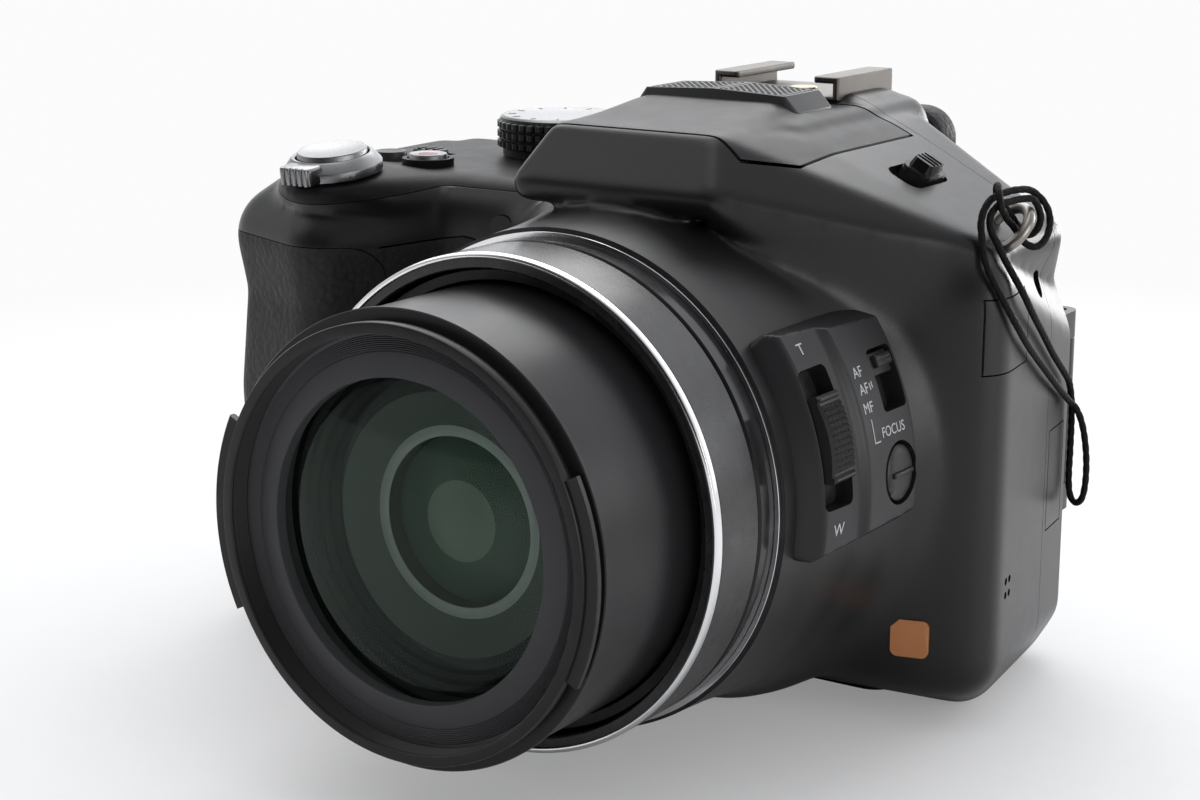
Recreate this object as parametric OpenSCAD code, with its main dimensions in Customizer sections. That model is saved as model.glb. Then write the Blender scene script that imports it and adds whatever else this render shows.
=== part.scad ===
// Bridge camera: fixed zoom lens, swing-out screen, pop-up flash.
// Millimetres. X runs to the plain side, the lens looks along -Y, Z is up, the base is at Z = 0.
// The origin is the mouth of the tripod socket.

/* [Body] */
// Width from the grip to the plain side
body_w = 125; // [120:0.5:130]
// Distance from the lens axis to the plain side
side_x = 46; // [44:0.5:49]
// Depth of the body, without grip, hood and eyecup
body_d = 45; // [44:0.5:48]
// Distance from the tripod socket to the front face of the body
front_d = 18; // [17:0.5:19.5]
// Height of the top deck above the base
deck_h = 71; // [69:0.5:73]
// Overall height, to the top of the accessory shoe
total_h = 86.6; // [85.6:0.2:88.6]
// How far the grip reaches in front of the tripod socket
grip_d = 33; // [31:0.5:35]
// Rounding of the body's outer edges
edge_r = 6; // [5:0.5:7]
// Wall of the covers
wall = 2.4; // [2:0.1:2.8]
// Thickness of the rubber skins
skin_t = 1.6; // [1.2:0.1:2]

/* [Lens] */
// Height of the lens axis above the base
lens_z = 37.6; // [37:0.2:38.4]
// Outer radius of the fixed barrel
barrel_r = 32.7; // [32.2:0.1:33.2]
// Wall of the fixed barrel
barrel_wall = 2.1; // [1.8:0.1:2.4]
// Distance from the tripod socket to the front edge of the fixed barrel
barrel_reach = 63; // [61:0.5:66]
// Distance from the tripod socket to the front of the collar
collar_reach = 48.5; // [47.5:0.5:50]
// Distance from the tripod socket to the front ring of the lens, as posed
front_reach = 84; // [82:0.5:88]
// Nominal diameter of the filter thread
filter_d = 52; // [51:0.5:52.5]
// Depth of the filter thread
filter_depth = 3; // [2.8:0.1:4]
// Wall of the first sliding tube
tube_wall = 1.5; // [1.2:0.1:1.6]

/* [Controls] */
// Radius of the mode dial
dial_r = 10.2; // [9:0.1:11]
// Radius of the zoom lever's ring
lever_r = 7.4; // [6.8:0.1:8]
// Radius of the shutter button
shutter_r = 5.3; // [4.8:0.1:5.6]
// Forward tilt of the shutter
shutter_tilt = 8; // [5:1:12]
// Radius of the movie button
movie_r = 3; // [2.6:0.1:3.4]
// Radius of the focus button
focus_r = 3.6; // [3:0.1:4]
// Travel of the push buttons
push = 0.8; // [0.5:0.1:1]

/* [Screen] */
// Width of the screen panel
screen_w = 70; // [66:0.5:71]
// Height of the screen panel
screen_h = 52; // [49:0.5:53]
// Thickness of the screen panel
screen_t = 6.2; // [5.6:0.1:6.6]

/* [Fittings] */
// Radius of the tripod socket's thread
tripod_r = 3.175; // [3.1:0.025:3.25]
// Depth of the tripod socket
tripod_depth = 7; // [6:0.5:8]
// Width between the side walls of the accessory shoe
shoe_w = 18.7; // [18.6:0.05:19]
// Width between the lips of the accessory shoe
shoe_gap = 12.6; // [12.4:0.1:12.8]
// Length of the accessory shoe
shoe_l = 17.5; // [16:0.5:18]
// Radius of the hinge pins
pin_r = 1.2; // [1:0.1:1.3]
// Wire radius of the strap eyelets
eyelet_wire = 0.8; // [0.7:0.1:1]
// Diameter of the lens cap cord
cord_d = 1; // [0.9:0.1:1.2]

/* [Fits] */
// Gap round pieces that move
run_gap = 0.3; // [0.25:0.05:0.4]
// Gap in the seams between fixed pieces
seam_gap = 0.1; // [0.05:0.05:0.15]
// Radial fit of the hinge pins in their knuckles
pin_fit = 0.05; // [0.03:0.01:0.08]

/* [Hidden] */
ball_fn = 20;
turn_fn = 72;
big = 200;
x_left = side_x - body_w;
y_front = -front_d;
y_back = body_d - front_d;
y_grip = -grip_d;
// The plain side draws in towards the back
side_taper = 4;
side_from = y_front + 8;
side_len = y_back - edge_r - side_from;
side_tilt = atan(side_taper / side_len);
shoulder_h = 67;
// Where the front and rear covers part, and where the front of the deck starts to fall
seam_y = y_back - 17;
slope_y = -14;
cap_t = 1.2;
cap_x = -25;
// The underside rises by this much from the base to the front face
keel = 4;
keel_y = -6;
// Grip: rounding, heights of its slices, depth of the finger notch, and its corners seen from above
grip_r = 8;
grip_low = 36;
grip_notch = 52;
grip_rim = 60;
notch = 1.4;
grip_plan = [[x_left + grip_r, y_grip + 13], [x_left + 21, y_grip + grip_r], [x_left + 30, y_grip + 18],
    [x_left + grip_r, y_back - 14]];
grip_top = [[x_left + 10, y_grip + 16], [x_left + 21, y_grip + 10.5], [x_left + 32, y_grip + 19],
    [x_left + 11, y_back - 11], [x_left + 26, y_back - 11]];
// Lens
bore_r = barrel_r - barrel_wall;
sleeve_r = barrel_r - 0.5;
collar_r = sleeve_r + seam_gap + 1.6;
base_y = -7;
base_t = 2;
// Gap at the collar that the accent ring fills, and the size of the bright front ring
lip = 0.8;
trim_w = 1.3;
trim_t = 0.8;
tube1_r = bore_r - run_gap;
tube1_in = tube1_r - tube_wall;
tube1_front = -barrel_reach + 2.5;
tube1_back = -14;
tube2_r = tube1_in - run_gap;
tube2_back = -24;
y_ring = -front_reach;
thread_r = filter_d / 2;
ring_r = thread_r + 1.5;
tube2_in = thread_r + 0.9;
name_in = 20.4;
// How far each of the two bayonet lugs reaches round the front ring
lug_turn = 52;
// Thickness of the name ring's lip before the front lens
name_t = 0.8;
cell_r = 11;
cell_rim = 1.2;
cell_deep = 12;
cell_eye = 6;
lens_edge = 22;
lens_thick = 5.3;
// The front lens starts this far behind the filter's wall
lens_set = 0.1;
lens_back = y_ring + filter_depth + lens_set + lens_thick;
lens_curve = 80;
cell_curve = 28;
motor_at = [-34, 15];
motor_r = 5;
motor_len = 9.5;
sensor_t = 2.1;
// Hood and hump
shoe_rise = 3.6;
shoe_t = 1;
hump_top = total_h - shoe_rise;
hood_x = 17;
hood_y = -37;
hood_z = 72;
hood_r = 2.5;
hinge_y = 3.5;
hinge_z = hump_top - 4;
lid_rear_r = 4.5;
lid_front_y = -30.5;
lid_side_z = hump_top - 4.6;
lid_wall = 1.8;
well_x = 15;
well_z = lens_z + collar_r + 1;
lug_x = 10.25;
lug_half = 1.25;
lug_r = 1.8;
arm_x = 13;
arm_half = 1.1;
arm_r = 2;
// The hump's middle stands a little over its edges
crown_rise = 1.1;
crown_r = 5;
crown_x = 10.5;
// The microphone plate has sloping sides and a low gable
mic_a = [-13.2, -11];
mic_b = [13.2, 0.8];
mic_low = 2.6;
mic_high = 3;
mic_slope = 2.3;
mic_base = 0.35;
// Control pod on the plain side of the collar
pod_from = -10;
pod_to = 39;
pod_front = -collar_reach + 2.4;
pod_ridge = -36;
pod_back = -23.4;
pod_r = collar_r + 3;
rock_mid = 15;
rock_half = 8.5;
rock_play = 4.5;
rock_y = -41.2;
rock_w = 5.4;
switch_top = 27.5;
switch_play = 6.5;
switch_len = 4.6;
switch_y = -27;
switch_w = 5;
focus_at = 3.6;
focus_y = -27.6;
// Top controls
shutter_x = x_left + 21;
shutter_y = -24;
lever_h = 2.8;
lever_bevel = 0.8;
// The deck swells up to a seat under the lever
lever_seat = 1.5;
nose_r = 1.2;
button_rise = 0.7;
shutter_shaft = 6;
dish_r = 30;
dish_deep = 0.6;
movie_at = [x_left + 27, -9];
func_at = [x_left + 18, -7];
power_at = [x_left + 21.5, -0.5];
power_rise = 1.4;
dial_at = [x_left + 37.5, 12];
rear_dial_at = [x_left + 23, y_back - 5.2];
rear_dial_r = 7;
rear_dial_t = 4;
// How far the rear dial lies under the deck
rear_dial_drop = 6;
// Flash slider on the shoulder
slider_at = [29.5, -4, 76.6];
slider_slope = 29;
// Screen and its hinge
screen_x = side_x - 11.5;
screen_z = 6;
screen_gap = 0.4;
screen_floor = y_back - screen_t - screen_gap;
hinge_x = screen_x + 4;
hinge_sy = y_back - 3;
glass_t = 1.2;
knuckle_r = 2.6;
lug_h = 4;
lug_z = [screen_z + 17, screen_z + screen_h - 5];
// Viewfinder
evf_y = y_back + 4;
evf_z = hump_top - 12;
cup_len = 6;
diopter_r = 4.6;
// Base
plate_t = wall;
bay_back = y_back - 12;
battery_at = [x_left + 9.5, -19, plate_t + 1.2];
battery = [14, bay_back - 2 - battery_at.y, deck_h - 27];
bay_wall = 1.2;
door_x = [x_left + 8.5, x_left + 26.5];
door_y = [battery_at.y - 2, bay_back - 0.5];
door_t = 1.6;
door_lift = 0.2;
foot_r = 4;
socket_r = 4.6;
socket_rim = 1.4;
screw_r = 0.8;
screw_head_r = 1.6;
screw_spots = [[side_x - 23, -2.5], [side_x - 23, y_back - 12], [-22, -2.5], [-22, y_back - 12]];
// Bosses between the rear cover and the board
boss_r = 2;
boss_spots = [for (x = [screen_x - screen_w - 4.5, screen_x - 6.5]) for (z = [14, deck_h - 17]) [x, z]];
// Buttons on the back, and how much of their usual room the screen leaves them
back_fit = (screen_x - screen_w - x_left) / 43.5;
back_pad = [screen_x - screen_w - 15.5 * back_fit, 22];
back_play = [back_pad.x, 40];
back_deep = 3;
pad_r = 9 * back_fit;
set_r = 3.4 * back_fit;
play_r = 2.8 * back_fit;
pad_x = [back_play.x - 13 * back_fit, back_play.x - 5 * back_fit];
pad_z = [38, 56];
// Doors on the plain side
term_at = [seam_y + 5.1, 30.4];
term_size = [1.4, 7, 14.6];
jack_z = [51, 61];
jack_y = [y_front + 4, -2];
jack_t = 1.4;
remote_at = [seam_y - 2.6, 59.8];
remote_r = 1.9;
speaker_at = [-6.4, 19.8];
speaker_r = 5;
speaker_t = 3;
// Strap eyelets
eyelet_r = 3.6;
eyelet_at = [[side_x - 3.4, -4.6, 69.2], [x_left + 1.6, 4, 63]];
eyelet_turn = [[40, -30, 0], [0, 0, 0]];
// The badge sits on the sloping corner of the front face
badge_at = [side_x - 9.6, y_front + 0.4, 13.8];
badge_turn = 14;
badge_half = 2.65;
badge_r = 1;
lamp_at = [-31.4, 64];
lamp_r = 2.2;
// Points of the cord: round the eyelet, down the plain side, through its far loop, back up and through again
cord_points = [[43.5, -4.1, 70.2], [44.4, -2.6, 68.4], [45.4, -1.8, 68.7], [46, -1.6, 70.2],
    [46, -2.1, 71.8], [45.5, -3.2, 73.3], [44.7, -5, 73.5], [44.1, -7.2, 73.4], [43.5, -9.4, 73.2],
    [43, -10.7, 72.2], [43, -11.2, 71], [43.4, -11.2, 69.6], [44.2, -10.9, 68], [45, -9.8, 65.6],
    [46.7, -8, 61.5], [46.3, -3.4, 57.8], [45.3, 2.8, 53.8], [44.4, 9, 49.6], [43.8, 14.4, 46.1],
    [43.4, 17.6, 43.8], [43.1, 19.6, 40.4], [43.1, 19.9, 37], [43.1, 19.9, 33], [43.1, 19.9, 28.6],
    [43.5, 19.9, 26.2], [44.4, 19.9, 25.4], [45.3, 19.9, 26.3], [45.7, 19.9, 29], [45.6, 19.9, 32.8],
    [45, 19.7, 36.8], [44.3, 18.8, 39.6], [43.6, 16.7, 41.6], [44.9, 6.7, 47.1], [46.1, -3.3, 52.9],
    [46.9, -9.4, 56.9], [46.3, -12.8, 60.8], [44.4, -14, 65], [43.3, -13.5, 67.4], [42.6, -12.7, 69.4],
    [42.2, -12.2, 71], [42.2, -11.4, 72.6], [42.5, -9.9, 73.9], [43.2, -7.7, 74.5], [44, -5.2, 74.7],
    [44.9, -2.4, 74.3], [46.1, -0.6, 72.5], [46.8, -0.2, 70.3], [47, -1.6, 68.1], [46.4, -3.4, 67],
    [45.2, -4.6, 67.6], [43.9, -5.1, 69.5], [43.3, -6.4, 70.9], [43.9, -8.6, 72], [44.2, -10.5, 73.1],
    [43.9, -10.5, 74.5], [43, -9, 75.5], [42.1, -7.4, 75.3], [41.7, -6.4, 74.1], [42.2, -5.4, 72.6],
    [42.9, -4.7, 71.3], [43.4, -4.2, 70.4]];
// Longest stretch between two rings of the cord
cord_step = 3.2;
cord_sides = 8;

// Helpers

module ball(p, r) {
    translate(p) sphere(r = r, $fn = ball_fn);
}

module span(a, b) {
    translate(a) cube(b - a);
}

// A ring about the lens axis, from points [radius, y]
module turned(pts) {
    translate([0, 0, lens_z]) rotate([-90, 0, 0]) rotate_extrude($fn = turn_fn) polygon(pts);
}

// A part of such a ring, between two angles above the plain side
module sector(pts, from, to) {
    translate([0, 0, lens_z]) rotate([-90, 0, 0]) rotate([0, 0, -to])
        rotate_extrude(angle = to - from, $fn = turn_fn) polygon(pts);
}

function ring_pts(r0, r1, y0, y1) = [[r0, y0], [r1, y0], [r1, y1], [r0, y1]];

// Local X points away from the lens axis
module radial(angle, y) {
    translate([0, y, lens_z]) rotate([0, -angle, 0]) children();
}

// A profile in Y and Z, drawn along X
module along_x(x0, x1, pts) {
    translate([x0, 0, 0]) rotate([90, 0, 90]) linear_extrude(x1 - x0) polygon(pts);
}

module rod_x(x0, x1, y, z, r) {
    translate([x0, y, z]) rotate([0, 90, 0]) cylinder(r = r, h = x1 - x0, $fn = 32);
}

module rod_y(y0, y1, x, z, r) {
    translate([x, y0, z]) rotate([-90, 0, 0]) cylinder(r = r, h = y1 - y0, $fn = 32);
}

module rod_z(z0, z1, at, r) {
    translate([at.x, at.y, z0]) cylinder(r = r, h = z1 - z0, $fn = 32);
}

function deck_z(y) = y < slope_y ? deck_h - (slope_y - y) * tan(shutter_tilt) : deck_h;
function side_at(y) = side_x - (y - side_from) * tan(side_tilt);

// Local X points out of the plain side, from a point on its surface
module on_side(at) {
    translate([side_at(at[0]), at[0], at[1]]) rotate([0, 0, side_tilt]) children();
}

module at_shutter() {
    translate([shutter_x, shutter_y, deck_z(shutter_y)]) rotate([shutter_tilt, 0, 0]) children();
}

module at_slider() {
    translate(slider_at) rotate([0, slider_slope, 0]) children();
}

// A plate with rounded corners, from 2D corners a and b
module rounded(a, b, r) {
    translate([a.x + r, a.y]) square([b.x - a.x - 2 * r, b.y - a.y]);
    translate([a.x, a.y + r]) square([b.x - a.x, b.y - a.y - 2 * r]);
    for (x = [a.x + r, b.x - r]) {
        for (y = [a.y + r, b.y - r]) {
            translate([x, y]) circle(r = r, $fn = 32);
        }
    }
}

// Outer form, before it is parted into covers

module grip_slice(z, r) {
    for (p = grip_plan) {
        ball([p.x, p.y, z], r);
    }
}

// The grip, drawn in by g on all sides
module grip(g) {
    hull() {
        grip_slice(grip_r - 1, grip_r - 1 - g);
        grip_slice(grip_low, grip_r - g);
    }
    hull() {
        grip_slice(grip_low, grip_r - g);
        grip_slice(grip_notch, grip_r - notch - g);
    }
    hull() {
        grip_slice(grip_notch, grip_r - notch - g);
        grip_slice(grip_rim, grip_r - g);
    }
    hull() {
        grip_slice(grip_rim, grip_r - g);
        for (p = grip_top) {
            ball([p.x, p.y, deck_z(p.y) - edge_r], edge_r - g);
        }
    }
}

// The swelling under the zoom lever
module nose() {
    ring = lever_r + 0.8 - nose_r;
    hull() {
        at_shutter() {
            for (a = [0:45:315]) {
                ball([ring * cos(a), ring * sin(a), lever_seat - nose_r], nose_r);
            }
        }
        for (p = [grip_top[0], grip_top[1], grip_top[2], [shutter_x, slope_y + 5]]) {
            ball([p.x, p.y, deck_z(p.y) - edge_r], edge_r);
        }
    }
}

module deck_block() {
    x0 = x_left + grip_r + edge_r;
    hull() {
        for (x = [x0, -10]) {
            ball([x, y_front + edge_r, deck_h - edge_r], edge_r);
            ball([x, y_front + edge_r, edge_r + keel], edge_r);
            ball([x, keel_y, edge_r], edge_r);
            for (z = [edge_r, deck_h - edge_r]) {
                ball([x, y_back - edge_r, z], edge_r);
            }
        }
    }
}

// The plain side, drawn in by g on all sides
module side_block(g) {
    r = edge_r - g;
    hull() {
        ball([-10, y_front + edge_r, deck_h - edge_r], r);
        ball([-10, y_front + edge_r, edge_r + keel], r);
        ball([-10, keel_y, edge_r], r);
        for (z = [edge_r, deck_h - edge_r]) {
            ball([-10, y_back - edge_r, z], r);
        }
        ball([side_x - edge_r - 3.5, keel_y + 4, edge_r], r);
        ball([side_x - side_taper - edge_r - 2, y_back - edge_r - 2, edge_r], r);
        for (z = [edge_r + keel, shoulder_h - edge_r]) {
            ball([side_x - 12, y_front + edge_r, z], r);
            ball([side_x - edge_r, side_from, z], r);
        }
        ball([side_x - side_taper - edge_r, y_back - edge_r, edge_r + keel], r);
        ball([side_x - side_taper - edge_r, y_back - edge_r, shoulder_h - edge_r - 12], r);
        ball([side_x - side_taper - edge_r - 3.5, y_back - edge_r - 1, shoulder_h - edge_r - 3], r);
    }
}

module shoulder() {
    r = 3;
    hull() {
        for (y = [y_front + 2, y_back - 10]) {
            ball([17, y, hump_top - 5], r);
            ball([17, y, deck_h - 11], r);
        }
        ball([side_x - 5, side_from - 1, deck_h - 5], r);
        ball([side_x - 5.6, 12, deck_h - 5.4], r);
        ball([side_x - 9, y_back - 9, deck_h - 12], r);
        ball([hood_x - hood_r, hood_y + hood_r, hood_z + hood_r], hood_r);
        ball([12, -30, hump_top - hood_r - 0.4], hood_r);
        ball([21, -27, deck_h - 3], r);
        ball([28.5, -19, deck_h - 13], r);
    }
}

module hump() {
    r = 4;
    hull() {
        for (x = [-1, 1]) {
            for (y = [y_front + 2, 17]) {
                ball([22 * x, y, deck_h - 9], r);
            }
            ball([13.5 * x, -14, hump_top - r - 0.2], r);
            ball([13 * x, 22, hump_top - r], r);
        }
    }
}

module hood() {
    r = hood_r;
    hull() {
        for (x = [-1, 1]) {
            ball([(hood_x - r) * x, hood_y + r, hood_z + r], r);
            ball([12 * x, -30, hump_top - r - 0.4], r);
            ball([20 * x, -12, hood_z + r], r);
            ball([13.5 * x, -8, hump_top - r], r);
        }
    }
}

// The crown of the flash lid, up to the microphone plate
module lid_crown() {
    hull() {
        for (x = [-crown_x, crown_x]) {
            ball([x, -24, hump_top - crown_r - 0.3], crown_r);
            for (y = [-12, mic_b.y - 3.4]) {
                ball([x, y, hump_top + crown_rise - crown_r], crown_r);
            }
        }
    }
}

// The crown behind the flash hinge, in which the accessory shoe lies
module shoe_crown() {
    hull() {
        for (x = [-crown_x, crown_x]) {
            for (y = [hinge_y + 7.5, y_back - 7]) {
                ball([x, y, hump_top + crown_rise - crown_r], crown_r);
            }
        }
    }
}

// Room for the accessory shoe and for a foot that slides in from the back
module shoe_seat() {
    half = shoe_w / 2 + shoe_t + seam_gap;
    span([-half, hinge_y + 3.4 - seam_gap, hump_top], [half, big, big]);
}

module finder() {
    r = 3;
    hull() {
        for (x = [-1, 1]) {
            ball([13 * x, 10, deck_h - 9], r);
            ball([13 * x, evf_y - r, evf_z - 8], r);
            ball([12 * x, evf_y - r - 1, hump_top - 5], r);
            ball([12 * x, 10, hump_top - r], r);
        }
    }
}

module collar() {
    turned([[sleeve_r, -collar_reach], [collar_r, -collar_reach], [collar_r + 0.5, -40],
        [collar_r + 1.6, -30], [collar_r + 3.4, -22], [collar_r + 6, y_front],
        [sleeve_r, y_front + edge_r]]);
}

module outer() {
    grip(0);
    nose();
    deck_block();
    side_block(0);
    shoulder();
    hump();
    hood();
    lid_crown();
    shoe_crown();
    finder();
    collar();
}

module cavity() {
    span([x_left + 20, y_front + wall, plate_t + wall + keel], [side_x - 13, 0, deck_h - 9]);
    span([x_left + 20, keel_y + 2, plate_t + wall],
        [side_x - side_taper - wall - 2.6, screen_floor - wall, deck_h - 9]);
    rod_x(side_x - 14, side_x - wall - 1.9, speaker_at[0], speaker_at[1], speaker_r + seam_gap);
    span([x_left + 7, y_grip + 11.5, plate_t - 1], [x_left + 29, bay_back, deck_h - 10]);
    span([-well_x, y_front, lens_z], [well_x, 9, well_z - 1]);
    span([-11, 0, deck_h - 9], [11, evf_y - 10, hump_top - wall]);
    turned(ring_pts(0, sleeve_r + seam_gap, -big, base_y + base_t + 1));
}

// The space under the flash lid
module well() {
    span([-well_x, lid_front_y + 1.2, well_z], [well_x, hinge_y + 3, hump_top + 1]);
    span([-well_x, hinge_y, hinge_z - lid_rear_r], [well_x, hinge_y + lid_rear_r, hinge_z]);
}

// The space of the lid itself, grown by g
module lid_space(g) {
    along_x(-hood_x - 4, hood_x + 4, [[lid_front_y - g, big], [lid_front_y - g, lid_side_z + 1.2 - g],
        [-24, lid_side_z - g], [hinge_y, lid_side_z - 1.8 - g], [hinge_y, big]]);
    rod_x(-hood_x - 4, hood_x + 4, hinge_y, hinge_z, lid_rear_r + g);
}

// The space of the top cover, grown by g
module cap_space(g) {
    along_x(x_left - 5, cap_x + g, [[-60, deck_z(-60) - cap_t - g], [slope_y, deck_h - cap_t - g],
        [y_back + 5, deck_h - cap_t - g], [y_back + 5, big], [-60, big]]);
}

// The space of the grip skin, grown by g
module skin_space(g) {
    difference() {
        span([x_left - 5, y_grip - 5, 4 - g], [x_left + 31 + g, 7 + g, grip_rim + 1 + g]);
        grip(skin_t + g);
        deck_block();
    }
}

module jack_space(g) {
    span([side_x - 9, jack_y[0] - g, jack_z[0] - g], [side_x + 5, jack_y[1] + g, jack_z[1] + g]);
}

// Holes through the deck for the top controls
module deck_holes() {
    rod_z(deck_h - 12, deck_h + 5, dial_at, 3 + run_gap);
    rod_z(deck_h - 12, deck_h + 5, movie_at, movie_r + run_gap);
    rod_z(deck_h - 12, deck_h + 5, func_at, 2.6 + run_gap);
    span([power_at.x - 1.5, power_at.y - 4, deck_h - 12], [power_at.x + 1.5, power_at.y + 4, deck_h + 5]);
    at_shutter() {
        translate([0, 0, -14]) cylinder(r = shutter_r + run_gap, h = 20, $fn = 48);
        translate([0, 0, lever_seat]) cylinder(r = lever_r + 2.6, h = 10, $fn = 48);
    }
}

// Bosses and holes of the base are shared by the plate and the covers
module plate_outline(g) {
    rounded([x_left + 7 - g, y_grip + 11 - g], [x_left + 29 + g, y_back - 11 + g], foot_r + g);
    rounded([x_left + 16 - g, keel_y + 0.5 - g], [side_x - 19 + g, y_back - 9 + g], foot_r + g);
}

// Covers

module front_cover() {
    color([0.08, 0.08, 0.085]) difference() {
        intersection() {
            outer();
            span([-big, -big, 0], [big, seam_y, big]);
        }
        difference() {
            cavity();
            for (x = [-lug_x, lug_x]) {
                span([x - lug_half, hinge_y - lug_r, lens_z], [x + lug_half, hinge_y + lug_r, hump_top]);
            }
        }
        difference() {
            well();
            flash_lugs();
        }
        difference() {
            lid_space(run_gap);
            flash_lugs();
        }
        shoe_seat();
        cap_space(seam_gap);
        skin_space(seam_gap);
        translate([0, 0, -1]) linear_extrude(1 + plate_t + seam_gap) plate_outline(seam_gap);
        linear_extrude(plate_t + wall + 1) plate_outline(-2);
        difference() {
            jack_space(run_gap);
            side_block(jack_t + run_gap);
        }
        deck_holes();
        on_side(remote_at) rod_x(-4, 2, 0, 0, remote_r);
        for (y = [-1, 1]) {
            for (z = [-1, 1]) {
                rod_x(side_x - 12, side_x + 2, speaker_at[0] + 0.8 * y, speaker_at[1] + z, 0.55);
            }
        }
        strap_wire(eyelet_wire + seam_gap);
        badge_plate(-0.8, 5, seam_gap);
        rod_y(y_front - 12, y_front + 3, lamp_at[0], lamp_at[1], lamp_r + seam_gap);
        at_slider() slider_slot();
        screw_holes();
        rod_z(-1, tripod_depth + 3, [0, 0], socket_r + socket_rim + seam_gap);
        pod_space(seam_gap);
        rod_x(-lug_x - lug_half - 0.1, lug_x + lug_half + 0.1, hinge_y, hinge_z, pin_r + 0.15);
    }
}

// The two lugs that hold the flash hinge pin
module flash_lugs() {
    for (x = [-lug_x, lug_x]) {
        span([x - lug_half, hinge_y - lug_r, well_z - 2], [x + lug_half, hinge_y + lug_r, hinge_z]);
        rod_x(x - lug_half, x + lug_half, hinge_y, hinge_z, lug_r);
    }
}

module rear_cover() {
    color([0.08, 0.08, 0.085]) difference() {
        union() {
            intersection() {
                outer();
                span([-big, seam_y + seam_gap, 0], [big, big, big]);
            }
            for (p = boss_spots) {
                rod_y(seam_y - 2.6, screen_floor - 0.5, p.x, p.y, boss_r);
            }
        }
        difference() {
            cavity();
            for (p = boss_spots) {
                rod_y(seam_y - 2.6, big, p.x, p.y, boss_r);
            }
        }
        lid_space(run_gap);
        shoe_seat();
        cap_space(seam_gap);
        translate([0, 0, -1]) linear_extrude(1 + plate_t + seam_gap) plate_outline(seam_gap);
        linear_extrude(plate_t + wall + 1) plate_outline(-2);
        difference() {
            span([screen_x - screen_w - screen_gap, screen_floor, screen_z - screen_gap],
                [big, big, screen_z + screen_h + screen_gap]);
            screen_lugs();
        }
        on_side(term_at) {
            translate([-term_size.x - run_gap, -term_size.y / 2 - run_gap, -term_size.z / 2 - run_gap])
                cube(term_size + [5, 2 * run_gap, 2 * run_gap]);
        }
        finder_tunnel();
        deck_holes();
        rod_z(rear_dial_z() - run_gap, rear_dial_z() + rear_dial_t + run_gap, rear_dial_at,
            rear_dial_r + run_gap);
        rod_z(rear_dial_z() - 4, rear_dial_z() + 8, rear_dial_at, 1.5 + run_gap);
        rear_holes();
        diopter_space();
        span([pad_x[0] - seam_gap, y_back - skin_t - seam_gap, pad_z[0] - seam_gap],
            [pad_x[1] + seam_gap, big, pad_z[1] + seam_gap]);
        screw_holes();
        rod_z(lug_z[0], lug_z[1], [hinge_x, hinge_sy], pin_r + 0.1);
    }
}

function rear_dial_z() = deck_h - rear_dial_drop - rear_dial_t;

module screen_lugs() {
    for (z = [lug_z[0], lug_z[1] - lug_h]) {
        rod_z(z, z + lug_h, [hinge_x, hinge_sy], knuckle_r);
        span([hinge_x - knuckle_r, screen_floor - 1, z], [hinge_x + knuckle_r, hinge_sy, z + lug_h]);
    }
}

module finder_tunnel() {
    span([-7.5, evf_y - 12, evf_z - 5.5], [7.5, big, evf_z + 5.5]);
}

module diopter_space() {
    rod_x(13.2, big, evf_y - 5, evf_z - 1, diopter_r + run_gap);
    rod_x(10, 14, evf_y - 5, evf_z - 1, 1.2 + run_gap);
}

// Wells of the buttons on the back
module rear_holes() {
    rod_y(y_back - back_deep, big, back_pad.x, back_pad.y, pad_r + run_gap);
    rod_y(y_back - back_deep, big, back_play.x, back_play.y, play_r + run_gap);
}

module top_cover() {
    color([0.1, 0.1, 0.105]) difference() {
        intersection() {
            union() {
                grip(0);
                nose();
                deck_block();
                rod_z(deck_h - 4, deck_h + 1.2, movie_at, movie_r + 1);
            }
            cap_space(0);
        }
        hump();
        shoulder();
        hood();
        deck_holes();
    }
}

module bottom_plate() {
    color([0.09, 0.09, 0.09]) difference() {
        union() {
            linear_extrude(plate_t) plate_outline(0);
            translate([battery_at.x - bay_wall - seam_gap, battery_at.y - bay_wall - seam_gap, plate_t])
                cube([battery.x + 2 * (bay_wall + seam_gap), battery.y + 2 * (bay_wall + seam_gap), 14]);
        }
        translate([battery_at.x - seam_gap, battery_at.y - seam_gap, -1])
            cube([battery.x + 2 * seam_gap, battery.y + 2 * seam_gap, 40]);
        span([door_x[0] - run_gap, door_y[0] - run_gap, -1],
            [door_x[1] + run_gap, door_y[1] + run_gap, door_t + door_lift + run_gap]);
        rod_z(-1, plate_t + 1, [0, 0], socket_r + seam_gap);
        screw_holes();
    }
}

module grip_rubber() {
    color([0.06, 0.06, 0.065]) intersection() {
        difference() {
            grip(0);
            grip(skin_t);
        }
        skin_space(0);
    }
}

module thumb_pad() {
    color([0.06, 0.06, 0.065])
        span([pad_x[0], y_back - skin_t, pad_z[0]], [pad_x[1], y_back, pad_z[1]]);
}

// Lens

module outer_barrel() {
    back = -collar_reach - lip;
    groove = back - 3.1;
    front = -barrel_reach;
    color([0.2, 0.2, 0.205]) turned([[bore_r, base_y], [sleeve_r, base_y], [sleeve_r, back],
        [barrel_r, back], [barrel_r, groove], [barrel_r - 0.4, groove - 0.2],
        [barrel_r - 0.4, groove - 0.6], [barrel_r, groove - 0.8], [barrel_r, front + trim_w],
        [barrel_r - trim_t, front + trim_w], [barrel_r - trim_t, front + 0.4], [bore_r, front + 0.4]]);
}

module trim_ring() {
    inner = barrel_r - trim_t + seam_gap;
    front = -barrel_reach;
    back = front + trim_w - seam_gap;
    color([0.85, 0.85, 0.86]) turned([[inner, front], [barrel_r - 0.3, front], [barrel_r, front + 0.4],
        [barrel_r, back], [inner, back]]);
}

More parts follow.
